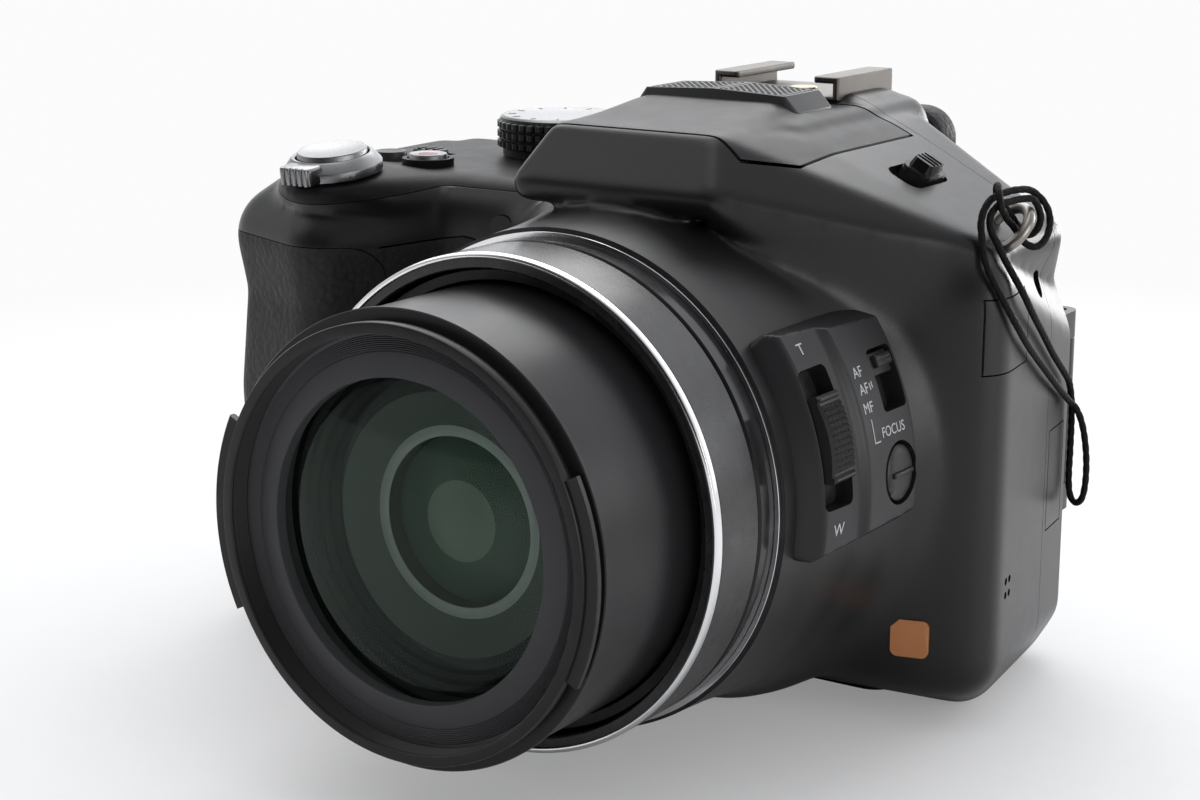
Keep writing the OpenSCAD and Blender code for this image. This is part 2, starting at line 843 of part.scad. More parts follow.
module accent_ring() {
    color([0.7, 0.7, 0.72]) turned(ring_pts(sleeve_r + seam_gap, collar_r - 0.5,
        -collar_reach - lip + seam_gap / 2, -collar_reach - seam_gap / 2));
}

module lens_base() {
    color([0.25, 0.25, 0.26]) difference() {
        union() {
            turned(ring_pts(0, sleeve_r, base_y + seam_gap, base_y + base_t));
            span([motor_at.x - motor_r - 1, base_y + seam_gap, motor_at.y - motor_r - 1],
                [-18, base_y + base_t, motor_at.y + motor_r + 1]);
        }
        span([-6, base_y - 1, lens_z - 5], [6, base_y + base_t + 1, lens_z + 5]);
    }
}

module zoom_motor() {
    color([0.6, 0.6, 0.62]) rod_y(base_y + base_t + seam_gap, base_y + base_t + motor_len,
        motor_at.x, motor_at.y, motor_r);
}

module image_sensor() {
    y0 = base_y + base_t + seam_gap;
    color([0.15, 0.25, 0.2]) span([-9, y0, lens_z - 8], [9, y0 + sensor_t, lens_z + 8]);
}

module main_board() {
    color([0.1, 0.3, 0.18]) {
        span([-44, seam_y - 4.2, 9], [32, seam_y - 2.7, 58]);
        span([-30, seam_y - 2.7, 20], [-14, seam_y - 1.4, 36]);
        span([2, seam_y - 2.7, 24], [16, seam_y - 1.4, 38]);
    }
}

module speaker() {
    x1 = side_x - wall - 2;
    color([0.3, 0.3, 0.3]) rod_x(x1 - speaker_t, x1, speaker_at[0], speaker_at[1], speaker_r);
}

module zoom_tube() {
    color([0.12, 0.12, 0.125]) turned([[tube1_in, tube1_back], [tube1_r, tube1_back], [tube1_r, tube1_front],
        [tube1_in, tube1_front]]);
}

module front_tube() {
    color([0.11, 0.11, 0.115]) {
        turned([[tube2_in, tube2_back], [tube2_r, tube2_back], [tube2_r, y_ring + 3.4],
            [tube2_r + 0.4, y_ring + 3.4], [tube2_r + 0.4, y_ring + 2.6], [ring_r - 0.5, y_ring + 2.6],
            [ring_r - 0.5, y_ring + 1.7], [ring_r, y_ring + 1.5], [ring_r, y_ring + 0.3],
            [ring_r - 0.3, y_ring], [thread_r, y_ring], [thread_r, y_ring + filter_depth],
            [tube2_in, y_ring + filter_depth]]);
        for (a = [-lug_turn / 2, 180 - lug_turn / 2]) {
            sector(ring_pts(ring_r - 0.2, tube2_r + 0.6, y_ring + 0.5, y_ring + 1.4), a, a + lug_turn);
        }
    }
}

module name_ring() {
    y0 = y_ring + filter_depth + seam_gap;
    y1 = y0 + name_t;
    y2 = y0 + 4.2;
    outside = tube2_in - seam_gap;
    step_r = lens_edge + run_gap;
    color([0.1, 0.1, 0.1]) turned([[name_in, y0], [outside, y0], [outside, y2], [step_r, y2],
        [step_r, y1], [name_in, y1]]);
}

module front_lens() {
    vertex = lens_back - lens_thick;
    color([0.2, 0.3, 0.25, 0.5]) intersection() {
        translate([0, vertex + lens_curve, lens_z]) sphere(r = lens_curve, $fn = 96);
        rod_y(vertex - 1, lens_back, 0, lens_z, lens_edge);
    }
}

module inner_cell() {
    y0 = lens_back + run_gap;
    y1 = y0 + cell_deep;
    seat = y0 + 4.2;
    floor_y = y1 - 1.5;
    outside = tube2_in - seam_gap;
    color([0.14, 0.14, 0.14]) turned([[lens_edge + 0.5, y0], [outside, y0], [outside, y1], [cell_eye, y1],
        [cell_eye, floor_y], [cell_r, floor_y], [cell_r, seat], [cell_r + cell_rim, seat]]);
}

module second_lens() {
    y0 = lens_back + 4.6;
    color([0.2, 0.3, 0.25, 0.5]) intersection() {
        translate([0, y0 + cell_curve, lens_z]) sphere(r = cell_curve, $fn = 96);
        rod_y(y0 - 1, y0 + cell_deep / 2, 0, lens_z, cell_r - seam_gap);
    }
}

// Control pod

pod_pts = [[collar_r - 1, pod_front], [pod_r - 0.6, pod_front], [pod_r + 0.2, pod_front + 1.4],
    [pod_r + 1.2, pod_ridge - 0.5], [pod_r + 1.8, pod_ridge + 0.5], [pod_r + 2.2, pod_back - 1.4],
    [pod_r + 1.2, pod_back], [collar_r - 1, pod_back]];

// The pod stands on the collar, in a shallow seat
module pod_space(g) {
    sector([[collar_r + 0.4 - g, pod_front - g], [pod_r + 5, pod_front - g], [pod_r + 5, pod_back + g],
        [collar_r + 0.4 - g, pod_back + g]], pod_from - g, pod_to + g);
}

module control_pod() {
    rock_a = rock_half + rock_play + 1;
    rock_b = rock_w / 2 + run_gap;
    switch_b = switch_w / 2 + run_gap;
    color([0.12, 0.12, 0.125]) difference() {
        intersection() {
            sector(pod_pts, pod_from, pod_to);
            pod_space(0);
        }
        sector(ring_pts(pod_r - 1.4, pod_r + 6, rock_y - rock_b, rock_y + rock_b),
            rock_mid - rock_a, rock_mid + rock_a);
        sector(ring_pts(pod_r, pod_r + 6, switch_y - switch_b, switch_y + switch_b),
            switch_top - switch_len - switch_play - 0.6, switch_top + 0.6);
        radial(focus_at, focus_y) rod_x(pod_r - 1, pod_r + 6, 0, 0, focus_r + run_gap);
    }
}

module zoom_rocker() {
    color([0.14, 0.14, 0.145]) intersection() {
        sector(ring_pts(pod_r - 1.1, pod_r + 6, rock_y - rock_w / 2, rock_y + rock_w / 2),
            rock_mid - rock_half, rock_mid + rock_half);
        radial(rock_mid, rock_y) rod_y(-rock_w, rock_w, pod_r - 12.7, 0, 15);
    }
}

module focus_switch() {
    color([0.1, 0.1, 0.1]) {
        sector(ring_pts(pod_r + 0.3, pod_r + 2.4, switch_y - switch_w / 2, switch_y + switch_w / 2),
            switch_top - switch_len, switch_top);
        sector(ring_pts(pod_r + 2.4, pod_r + 3, switch_y - switch_w / 2 + 0.4, switch_y + switch_w / 2 - 0.4),
            switch_top - switch_len + 1.5, switch_top - 0.8);
    }
}

module focus_button() {
    color([0.1, 0.1, 0.1]) radial(focus_at, focus_y) {
        rod_x(pod_r + push + 0.2 - 1, pod_r + 2.7, 0, 0, focus_r);
        span([pod_r + 2.5, -2.6, -0.35], [pod_r + 3.1, 2.6, 0.35]);
    }
}

// Top controls

module zoom_lever() {
    low = lever_seat + run_gap;
    color([0.7, 0.7, 0.71]) at_shutter() {
        difference() {
            union() {
                translate([0, 0, low]) cylinder(r = lever_r, h = lever_h - lever_bevel, $fn = 64);
                translate([0, 0, low + lever_h - lever_bevel])
                    cylinder(r1 = lever_r, r2 = lever_r - lever_bevel, h = lever_bevel, $fn = 64);
                span([-3, -lever_r - 1.8, low], [3, -lever_r + 1.5, low + lever_h]);
            }
            translate([0, 0, -1]) cylinder(r = shutter_r + run_gap, h = 8, $fn = 64);
        }
    }
}

module shutter_button() {
    top = lever_seat + run_gap + lever_h + button_rise;
    color([0.75, 0.75, 0.76]) at_shutter() {
        difference() {
            translate([0, 0, -shutter_shaft]) cylinder(r = shutter_r, h = shutter_shaft + top, $fn = 64);
            translate([0, 0, top + dish_r - dish_deep]) sphere(r = dish_r, $fn = 96);
        }
    }
}

module movie_button() {
    color([0.75, 0.75, 0.76]) rod_z(deck_h - 5, deck_h + 1.2 + push, movie_at, movie_r);
}

module function_button() {
    color([0.15, 0.15, 0.15]) rod_z(deck_h - 5, deck_h + push + 0.6, func_at, 2.6);
}

module power_switch() {
    color([0.12, 0.12, 0.12]) {
        span([power_at.x - 1.2, power_at.y - 1.6, deck_h - 5],
            [power_at.x + 1.2, power_at.y + 0.2, deck_h + run_gap]);
        span([power_at.x - 2.6, power_at.y - 2.2, deck_h + run_gap],
            [power_at.x + 2.6, power_at.y + 0.8, deck_h + power_rise]);
    }
}

module mode_dial() {
    color([0.1, 0.1, 0.1]) {
        rod_z(deck_h - 8, deck_h + run_gap, dial_at, 3);
        rod_z(deck_h + run_gap, deck_h + 1.6, dial_at, dial_r - 0.9);
        rod_z(deck_h + 1.6, deck_h + 5.9, dial_at, dial_r);
        translate([dial_at.x, dial_at.y, deck_h + 5.9])
            cylinder(r1 = dial_r, r2 = dial_r - 0.7, h = 0.7, $fn = 64);
    }
}

module rear_dial() {
    color([0.1, 0.1, 0.1]) {
        rod_z(rear_dial_z(), rear_dial_z() + rear_dial_t, rear_dial_at, rear_dial_r);
        rod_z(rear_dial_z() - 3, rear_dial_z() + rear_dial_t + 2, rear_dial_at, 1.5);
    }
}

// Flash

module flash_lid() {
    color([0.1, 0.1, 0.105]) difference() {
        intersection() {
            union() {
                hump();
                hood();
                lid_crown();
            }
            lid_space(0);
        }
        span([-well_x + 0.4, lid_front_y + 2, 0], [well_x - 0.4, hinge_y, hump_top - lid_wall]);
        span([-well_x + 0.4, hinge_y - 1, 0], [well_x - 0.4, big, hinge_z]);
        rod_x(-well_x + 0.4, well_x - 0.4, hinge_y, hinge_z, lid_rear_r - 1.4);
        translate([0, 0, hump_top - 0.4]) linear_extrude(big)
            rounded(mic_a - seam_gap * [1, 1], mic_b + seam_gap * [1, 1], 1.5);
    }
}

// What lies above the gable of the microphone plate
module mic_over() {
    translate([0, mic_b.y + 1, hump_top]) rotate([90, 0, 0]) linear_extrude(mic_b.y - mic_a.y + 2)
        polygon([[mic_a.x - 1, mic_low], [0, mic_high], [mic_b.x + 1, mic_low], [mic_b.x + 1, 10],
            [mic_a.x - 1, 10]]);
}

module mic_plate() {
    color([0.12, 0.12, 0.12]) difference() {
        hull() {
            translate([0, 0, hump_top - 0.3]) linear_extrude(mic_base + 0.3) rounded(mic_a, mic_b, 1.5);
            translate([0, 0, hump_top + mic_high]) linear_extrude(0.1)
                rounded(mic_a + mic_slope * [1, 1], mic_b - mic_slope * [1, 1], 1);
        }
        mic_over();
    }
}

module flash_arm() {
    color([0.3, 0.3, 0.3]) difference() {
        union() {
            for (x = [-arm_x, arm_x]) {
                rod_x(x - arm_half, x + arm_half, hinge_y, hinge_z, arm_r);
                span([x - arm_half, -14, hinge_z - arm_r], [x + arm_half, hinge_y, hinge_z + 1.6]);
            }
            span([-arm_x, -14, hinge_z + 0.2], [arm_x, -12, hinge_z + 1.6]);
        }
        rod_x(-20, 20, hinge_y, hinge_z, pin_r + pin_fit);
    }
}

module flash_hinge_pin() {
    color([0.7, 0.7, 0.72]) rod_x(-well_x + 0.7, well_x - 0.7, hinge_y, hinge_z, pin_r);
}

module flash_window() {
    color([0.8, 0.8, 0.75])
        span([-12, lid_front_y + 3.5, well_z + 0.6], [12, lid_front_y + 11, hump_top - lid_wall - seam_gap]);
}

module slider_slot() {
    translate([0, 0, -3]) linear_extrude(8) rounded([-2.8, -5.5], [2.8, 5.5], 2);
}

module flash_slider() {
    color([0.12, 0.12, 0.12]) at_slider() {
        translate([0, 0, -2.7]) linear_extrude(2.2) rounded([-2.4, -2.2], [2.4, 5], 1.5);
        translate([0, 1.4, -0.6]) linear_extrude(1.5) rounded([-1.9, -2.4], [1.9, 2.4], 1);
    }
}

// Accessory shoe and finder

module hot_shoe() {
    z = hump_top + seam_gap;
    y0 = hinge_y + 3.4;
    half = shoe_w / 2;
    color([0.75, 0.75, 0.74]) difference() {
        span([-half - shoe_t, y0, z], [half + shoe_t, y0 + shoe_l, total_h]);
        span([-half, y0 - 1, z + 0.6], [half, y0 + shoe_l + 1, total_h - shoe_t]);
        span([-shoe_gap / 2, y0 - 1, z + 0.6], [shoe_gap / 2, y0 + shoe_l + 1, total_h + 1]);
    }
}

module shoe_contacts() {
    z = hump_top + seam_gap + 0.6;
    yc = hinge_y + 3.4 + shoe_l / 2;
    color([0.85, 0.8, 0.6]) {
        rod_z(z, z + 0.3, [0, yc], 2);
        for (p = [[-4, -4], [0, -5], [4, -4]]) {
            rod_z(z, z + 0.3, [p[0], yc + p[1]], 0.8);
        }
    }
}

module eyecup() {
    color([0.05, 0.05, 0.05]) difference() {
        translate([0, evf_y + seam_gap, evf_z]) rotate([-90, 0, 0]) linear_extrude(cup_len)
            rounded([-15.5, -9], [15.5, 9], 5);
        translate([0, evf_y - 1, evf_z]) rotate([-90, 0, 0]) linear_extrude(cup_len + 3)
            rounded([-11, -6.5], [11, 6.5], 3);
    }
}

module eyepiece_lens() {
    color([0.3, 0.3, 0.35, 0.5])
        span([-7.4, evf_y - 2.5, evf_z - 5.4], [7.4, evf_y - 0.5, evf_z + 5.4]);
}

module evf_display() {
    y1 = evf_y - 10 - seam_gap;
    color([0.15, 0.15, 0.15]) span([-9, y1 - 3, evf_z - 7], [9, y1, evf_z + 7]);
}

module diopter_dial() {
    color([0.1, 0.1, 0.1]) {
        rod_x(13.5, 16, evf_y - 5, evf_z - 1, diopter_r);
        rod_x(10.5, 13.5, evf_y - 5, evf_z - 1, 1.2);
    }
}

// Screen

module screen_frame() {
    x0 = screen_x - screen_w;
    ya = screen_floor + screen_gap;
    color([0.1, 0.1, 0.1]) difference() {
        union() {
            difference() {
                translate([0, y_back, 0]) rotate([90, 0, 0]) linear_extrude(screen_t)
                    rounded([x0, screen_z], [screen_x, screen_z + screen_h], 3);
                translate([0, ya + glass_t, 0]) rotate([90, 0, 0]) linear_extrude(glass_t + 5)
                    rounded([x0 + 3 - seam_gap, screen_z + 4 - seam_gap],
                        [screen_x - 3 + seam_gap, screen_z + screen_h - 4 + seam_gap], 2);
            }
            rod_z(lug_z[0] + lug_h + run_gap, lug_z[1] - lug_h - run_gap, [hinge_x, hinge_sy], knuckle_r);
            span([screen_x - 2, hinge_sy - 2, lug_z[0] + lug_h + run_gap],
                [hinge_x, hinge_sy + 2, lug_z[1] - lug_h - run_gap]);
        }
        rod_z(screen_z, screen_z + screen_h, [hinge_x, hinge_sy], pin_r + pin_fit);
    }
}

module screen_glass() {
    x0 = screen_x - screen_w;
    ya = screen_floor + screen_gap;
    color([0.05, 0.06, 0.08]) translate([0, ya + glass_t - seam_gap, 0]) rotate([90, 0, 0])
        linear_extrude(glass_t - seam_gap)
            rounded([x0 + 3, screen_z + 4], [screen_x - 3, screen_z + screen_h - 4], 2);
}

module screen_pin() {
    color([0.7, 0.7, 0.72]) rod_z(lug_z[0] + 0.5, lug_z[1] - 0.5, [hinge_x, hinge_sy], pin_r);
}

// Buttons on the back

module play_button() {
    color([0.14, 0.14, 0.14])
        rod_y(y_back - back_deep + push + 0.2, y_back + 1, back_play.x, back_play.y, play_r);
}

module cursor_pad() {
    color([0.14, 0.14, 0.14]) difference() {
        rod_y(y_back - back_deep + push + 0.2, y_back + 0.8, back_pad.x, back_pad.y, pad_r);
        rod_y(y_back - 1.4, y_back + 3, back_pad.x, back_pad.y, set_r + run_gap);
    }
}

module set_button() {
    color([0.16, 0.16, 0.16])
        rod_y(y_back - 1.4 + push + 0.2, y_back + 1.2, back_pad.x, back_pad.y, set_r);
}

// Base and doors

module battery() {
    color([0.2, 0.2, 0.22]) translate(battery_at) cube(battery);
}

module battery_door() {
    color([0.09, 0.09, 0.09])
        span([door_x[0], door_y[0], door_lift], [door_x[1], door_y[1], door_lift + door_t]);
}

module terminal_door() {
    color([0.12, 0.12, 0.12]) on_side(term_at)
        translate([-term_size.x, -term_size.y / 2, -term_size.z / 2]) cube(term_size);
}

module jack_cover() {
    color([0.12, 0.12, 0.12]) intersection() {
        difference() {
            side_block(0);
            side_block(jack_t);
        }
        jack_space(0);
    }
}

module tripod_socket() {
    color([0.7, 0.7, 0.7]) difference() {
        union() {
            rod_z(0, tripod_depth + 2, [0, 0], socket_r);
            rod_z(plate_t + seam_gap, plate_t + 2, [0, 0], socket_r + socket_rim);
        }
        rod_z(-1, tripod_depth, [0, 0], tripod_r);
    }
}

module screw_holes() {
    for (p = screw_spots) {
        rod_z(-1, 1.4, p, screw_head_r + seam_gap);
        rod_z(-1, 8, p, screw_r + 0.15);
    }
}

module case_screws() {
    color([0.6, 0.6, 0.6]) {
        for (p = screw_spots) {
            rod_z(0.3, 1.3, p, screw_head_r);
            rod_z(1.3, 5.5, p, screw_r);
        }
    }
}

module strap_wire(r) {
    for (i = [0, 1]) {
        translate(eyelet_at[i]) rotate(eyelet_turn[i]) rotate_extrude($fn = 48)
            translate([eyelet_r, 0]) circle(r = r, $fn = 24);
    }
}

module strap_eyelets() {
    color([0.8, 0.8, 0.8]) strap_wire(eyelet_wire);
}

// The badge's plate, from a depth under the surface, grown by g
module badge_plate(from, height, g) {
    half = badge_half + g;
    translate(badge_at) rotate([0, 0, badge_turn]) rotate([90, 0, 0]) translate([0, 0, from])
        linear_extrude(height) rounded([-half, -half], [half, half], badge_r);
}

module badge() {
    color([0.75, 0.42, 0.22]) badge_plate(-0.7, 0.9, 0);
}

module assist_lamp() {
    color([0.4, 0.1, 0.08]) rod_y(y_front - 0.3, y_front + 2.8, lamp_at[0], lamp_at[1], lamp_r);
}

// Cord: a smooth curve through its points, and a tube swept along it

function unit(v) = v / norm(v);
function curve(a, b, c, d, t) = 0.5 * (2 * b + (c - a) * t + (2 * a - 5 * b + 4 * c - d) * t * t
    + (3 * b - a - 3 * c + d) * t * t * t);
function point(p, i) = p[max(0, min(i, len(p) - 1))];
function cord_path(p) = [for (i = [0 : len(p) - 2]) let (n = ceil(norm(p[i + 1] - p[i]) / cord_step))
    for (k = [0 : (i == len(p) - 2 ? n : n - 1)])
        curve(point(p, i - 1), p[i], p[i + 1], point(p, i + 2), k / n)];
function heading(p, i) = unit(point(p, i + 1) - point(p, i - 1));
// A direction across the cord, carried from ring to ring without twist
function carried(u, t) = unit(u - (u * t) * t);
function across(p) = [for (i = 0, u = carried([1, 0, 0], heading(p, 0)); i < len(p);
    u = carried(u, heading(p, i + 1)), i = i + 1) u];
function tube_ring(c, t, u, r) = let (v = cross(t, u))
    [for (k = [0 : cord_sides - 1]) let (a = 360 * k / cord_sides) c + r * (cos(a) * u + sin(a) * v)];

module swept(p, r) {
    n = len(p);
    m = cord_sides;
    u = across(p);
    pts = [for (i = [0 : n - 1]) each tube_ring(p[i], heading(p, i), u[i], r)];
    sides = [for (i = [0 : n - 2]) for (k = [0 : m - 1]) each
        [[i * m + k, i * m + (k + 1) % m, (i + 1) * m + k],
         [i * m + (k + 1) % m, (i + 1) * m + (k + 1) % m, (i + 1) * m + k]]];
    caps = [[for (k = [m - 1 : -1 : 0]) k], [for (k = [0 : m - 1]) (n - 1) * m + k]];
    polyhedron(points = pts, faces = concat(sides, caps), convexity = 10);
}

module lens_cord() {
    color([0.05, 0.05, 0.05]) swept(cord_path(cord_points), cord_d / 2);
}

front_cover();
rear_cover();
top_cover();
bottom_plate();
grip_rubber();
thumb_pad();
outer_barrel();
trim_ring();
accent_ring();
lens_base();
zoom_tube();
front_tube();
name_ring();
front_lens();
inner_cell();
second_lens();
image_sensor();
zoom_motor();
main_board();
speaker();
control_pod();
zoom_rocker();
focus_switch();
focus_button();
zoom_lever();
shutter_button();
movie_button();
function_button();
power_switch();
mode_dial();
rear_dial();
flash_lid();
mic_plate();
flash_arm();
flash_window();
flash_hinge_pin();
flash_slider();
hot_shoe();
shoe_contacts();
eyecup();
eyepiece_lens();
evf_display();
diopter_dial();
screen_frame();
screen_glass();
screen_pin();
play_button();
cursor_pad();
set_button();
battery();
battery_door();
terminal_door();
jack_cover();
tripod_socket();
case_screws();
strap_eyelets();
badge();
assist_lamp();
lens_cord();
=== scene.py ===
"""Bridge camera: the looks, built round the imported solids.

Forms are worked out in millimetres, in the frame of the solids: X to the plain side, the lens looks
along -Y, Z is up. piece() turns a finished form into metres and hangs it on its body.
"""

import math

import bmesh
import bpy
import numpy as np
from mathutils import Matrix, Vector


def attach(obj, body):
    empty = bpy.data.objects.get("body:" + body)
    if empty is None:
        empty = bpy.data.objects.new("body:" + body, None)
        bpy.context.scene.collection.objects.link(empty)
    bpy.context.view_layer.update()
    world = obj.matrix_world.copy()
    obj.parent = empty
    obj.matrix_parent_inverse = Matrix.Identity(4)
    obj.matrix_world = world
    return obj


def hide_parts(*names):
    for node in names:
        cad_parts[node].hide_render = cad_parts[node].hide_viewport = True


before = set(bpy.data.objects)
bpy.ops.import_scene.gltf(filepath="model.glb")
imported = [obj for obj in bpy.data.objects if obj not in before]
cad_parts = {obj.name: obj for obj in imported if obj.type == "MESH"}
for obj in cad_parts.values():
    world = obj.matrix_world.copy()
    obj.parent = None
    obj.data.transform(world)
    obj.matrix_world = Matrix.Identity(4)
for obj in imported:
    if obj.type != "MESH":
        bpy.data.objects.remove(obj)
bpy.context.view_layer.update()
scene = bpy.context.scene
MM = 0.001
FAR = 200

# Sizes of the solids that the forms below share
LENS_Z = 37.6
BARREL_R = 32.7
SLEEVE_R = 32.3
COLLAR_R = 33.9
COLLAR_Y = -48.5
BARREL_Y = -63
RING_Y = -84
SEAM_Y = 10
DECK_H = 71
CAP_T = 1.2
SLOPE_Y = -14
SHUTTER_TILT = math.radians(8)
HUMP_TOP = 83
LID_GAP = 0.45
RUN_GAP = 0.3
SEAM = 0.12
SIDE_TILT = math.atan(4 / 31)
POD_R = 36.9
POD_ARC = (-10, 39)
POD_Y = (-46.1, -23.4)
HINGE = (3.5, 79)
LAMP_AT = (-31.4, 64)
MODE_AT = (-41.5, 12)
MOVIE_AT = (-52, -9)
FUNCTION_AT = (-61, -7)
REAR_WHEEL_AT = (-56, 21.8)
DIOPTER_AT = (26, 70)
SCREEN_PIN = (38.5, 24)
BAY = ((-72, -21.5), (-50, 15))
MIC = ((-13.2, -11), (13.2, 0.8))
LEVER_SEAT = 1.5


# Camera, at the photograph's viewing angle

def place_camera(position, azimuth, elevation, lens):
    az, el = math.radians(azimuth), math.radians(elevation)
    back = Vector((math.sin(az) * math.cos(el), -math.cos(az) * math.cos(el), math.sin(el)))
    right = Vector((0, 0, 1)).cross(back).normalized()
    data = bpy.data.cameras.new("photo_camera")
    data.lens = lens
    data.sensor_width = 36
    data.clip_start = 0.01
    data.clip_end = 50
    camera = bpy.data.objects.new("photo_camera", data)
    camera.matrix_world = Matrix.Translation(Vector(position) * MM) @ Matrix(
        (right, back.cross(right), back)).transposed().to_4x4()
    scene.collection.objects.link(camera)
    scene.camera = camera


place_camera((171.6, -296.8, 122.0), 33.68, 13.65, 71.1)


# Materials: each takes its grain, gloss and colour from noise in the object's own space

class Nodes:
    """A short way to add nodes to a tree and join them."""

    def __init__(self, tree):
        self.tree = tree

    def add(self, kind, inputs=(), **settings):
        node = self.tree.nodes.new("ShaderNode" + kind)
        for key, value in settings.items():
            setattr(node, key, value)
        for key, value in dict(inputs).items():
            if isinstance(value, bpy.types.NodeSocket):
                self.tree.links.new(value, node.inputs[key])
            else:
                node.inputs[key].default_value = value
        return node

    def noise(self, where, size_mm, detail=2.0):
        settings = {"Vector": where, "Scale": 1000 / size_mm, "Detail": detail}
        return self.add("TexNoise", settings).outputs["Fac"]

    def map(self, value, low, high, start=0.0, stop=1.0):
        return self.add("MapRange", {"Value": value, "From Min": start, "From Max": stop,
                                     "To Min": low, "To Max": high}).outputs["Result"]

    def math(self, operation, a, b=0.0):
        return self.add("Math", {0: a, 1: b}, operation=operation).outputs[0]

    def mix(self, factor, a, b):
        node = self.add("Mix", data_type="RGBA")
        for socket, value in zip((node.inputs[0], node.inputs[6], node.inputs[7]), (factor, a, b)):
            if isinstance(value, bpy.types.NodeSocket):
                self.tree.links.new(value, socket)
            else:
                socket.default_value = value
        return node.outputs[2]


def shade(colour, k):
    return (*(min(1.0, c * k) for c in colour), 1.0)


def material(name, colour, rough, grain=0.3, bump=0.1, vary=0.12, wear=0.0, pattern="fine", **principled):
    """A finish: its colour and roughness, the size and depth of its grain in mm, and its worn edges."""
    made = bpy.data.materials.new(name)
    made.use_nodes = True
    made.diffuse_color = (*colour, 1.0)
    nodes = Nodes(made.node_tree)
    shader = made.node_tree.nodes["Principled BSDF"]
    where = nodes.add("TexCoord").outputs["Object"]
    broad = nodes.noise(where, 9.0, 3.0)
    base = nodes.mix(broad, shade(colour, 1 - vary), shade(colour, 1 + vary))
    if pattern == "pebble":
        warp = nodes.add("VectorMath", {0: where, 1: nodes.add(
            "VectorMath", {0: nodes.add("TexNoise", {"Vector": where, "Scale": 900.0}).outputs["Color"],
                           "Scale": 0.0005}, operation="SCALE").outputs[0]}, operation="ADD").outputs[0]
        cells = nodes.add("TexVoronoi", {"Vector": warp, "Scale": 1000 / grain},
                          feature="SMOOTH_F1").outputs["Distance"]
        height = nodes.math("SUBTRACT", 1.0, nodes.math("POWER", cells, 1.6))
        # Painted shade: the hollows between the pebbles are darkened, following the pebble height.
        base = nodes.mix(nodes.map(cells, 0.0, 0.5, 0.2, 0.8), base, shade(colour, 0.55))
    elif pattern == "spun":
        settings = {"Vector": where, "Scale": 1000 / grain, "Distortion": 1.5, "Detail": 3.0}
        rings = nodes.add("TexWave", settings, wave_type="RINGS", rings_direction="Z").outputs["Fac"]
        height = nodes.math("ADD", rings, nodes.noise(where, grain, 4.0))
    else:
        height = nodes.noise(where, grain, 3.0)
    if wear:
        edge = nodes.map(nodes.add("NewGeometry").outputs["Pointiness"], 0.0, wear, 0.53, 0.62)
        scuffed = nodes.math("MULTIPLY", edge, nodes.map(nodes.noise(where, 2.5, 5.0), 0.0, 1.0, 0.35, 0.65))
        base = nodes.mix(scuffed, base, shade([c + 0.05 for c in colour], 3.0))
    made.node_tree.links.new(base, shader.inputs["Base Color"])
    spots = nodes.noise(where, 3.0, 4.0)
    made.node_tree.links.new(nodes.map(spots, rough * 0.88, rough * 1.12), shader.inputs["Roughness"])
    if bump:
        bumped = nodes.add("Bump", {"Height": height, "Strength": 1.0, "Distance": bump * MM})
        made.node_tree.links.new(bumped.outputs["Normal"], shader.inputs["Normal"])
    for key, value in principled.items():
        shader.inputs[key.replace("_", " ")].default_value = value
    return made


BLACK = material("black_plastic", (0.008, 0.008, 0.0088), 0.33, 0.22, 0.018, wear=0.2,
                 Specular_IOR_Level=0.35)
DECK = material("deck_plastic", (0.013, 0.013, 0.0142), 0.44, 0.28, 0.022, wear=0.2, Specular_IOR_Level=0.3)
TOP = material("top_plastic", (0.013, 0.013, 0.0142), 0.44, 0.28, 0.022, wear=0.2, Specular_IOR_Level=0.1)
RUBBER = material("grip_rubber", (0.024, 0.024, 0.0255), 0.58, 0.9, 0.16, pattern="pebble",
                  Specular_IOR_Level=0.22)
BARREL = material("barrel_paint", (0.014, 0.014, 0.015), 0.27, 0.2, 0.008, wear=0.12, Specular_IOR_Level=0.45)
TUBE = material("tube_black", (0.012, 0.012, 0.013), 0.32, 0.2, 0.009, wear=0.12, Specular_IOR_Level=0.22)
RING = material("ring_black", (0.05, 0.05, 0.053), 0.4, 0.2, 0.008, Specular_IOR_Level=0.2)
BAFFLE = material("baffle_black", (0.006, 0.006, 0.0062), 0.5, 0.2, 0, Specular_IOR_Level=0.12)
GLOSS = material("gloss_black", (0.008, 0.008, 0.009), 0.14, 0.6, 0.002, wear=0.12, Specular_IOR_Level=0.3)
CHROME = material("trim_chrome", (0.8, 0.8, 0.81), 0.14, 0.15, 0.002, vary=0.04, Metallic=1.0)
SILVER = material("satin_silver", (0.24, 0.24, 0.247), 0.28, 0.25, 0.004, vary=0.06, pattern="spun",
                  Metallic=1.0)
STEEL = material("steel", (0.24, 0.225, 0.205), 0.34, 0.4, 0.005, vary=0.15, Metallic=1.0)
SHOE = material("shoe_steel", (0.12, 0.11, 0.1), 0.42, 0.4, 0.005, vary=0.2, Metallic=1.0)
KNOB = material("knob_black", (0.014, 0.014, 0.0152), 0.36, 0.25, 0.01, wear=0.25, Specular_IOR_Level=0.3)
RED = material("button_red", (0.25, 0.02, 0.02), 0.3, 0.5, 0.004)
LAMP = material("lamp_red", (0.006, 0.002, 0.002), 0.12, 0.5, 0.002, Specular_IOR_Level=0.25)
ORANGE = material("badge_orange", (0.5, 0.2, 0.075), 0.34, 0.35, 0.01, vary=0.1, Metallic=0.35)
WHITE = material("mark_white", (0.42, 0.42, 0.43), 0.6, 0.3, 0.004)
BOARD = material("board_green", (0.02, 0.09, 0.045), 0.5, 1.2, 0.03)
BRASS = material("contact_brass", (0.62, 0.45, 0.2), 0.3, 0.3, 0.004, Metallic=1.0)
GREY = material("battery_grey", (0.08, 0.08, 0.085), 0.5, 0.35, 0.02)
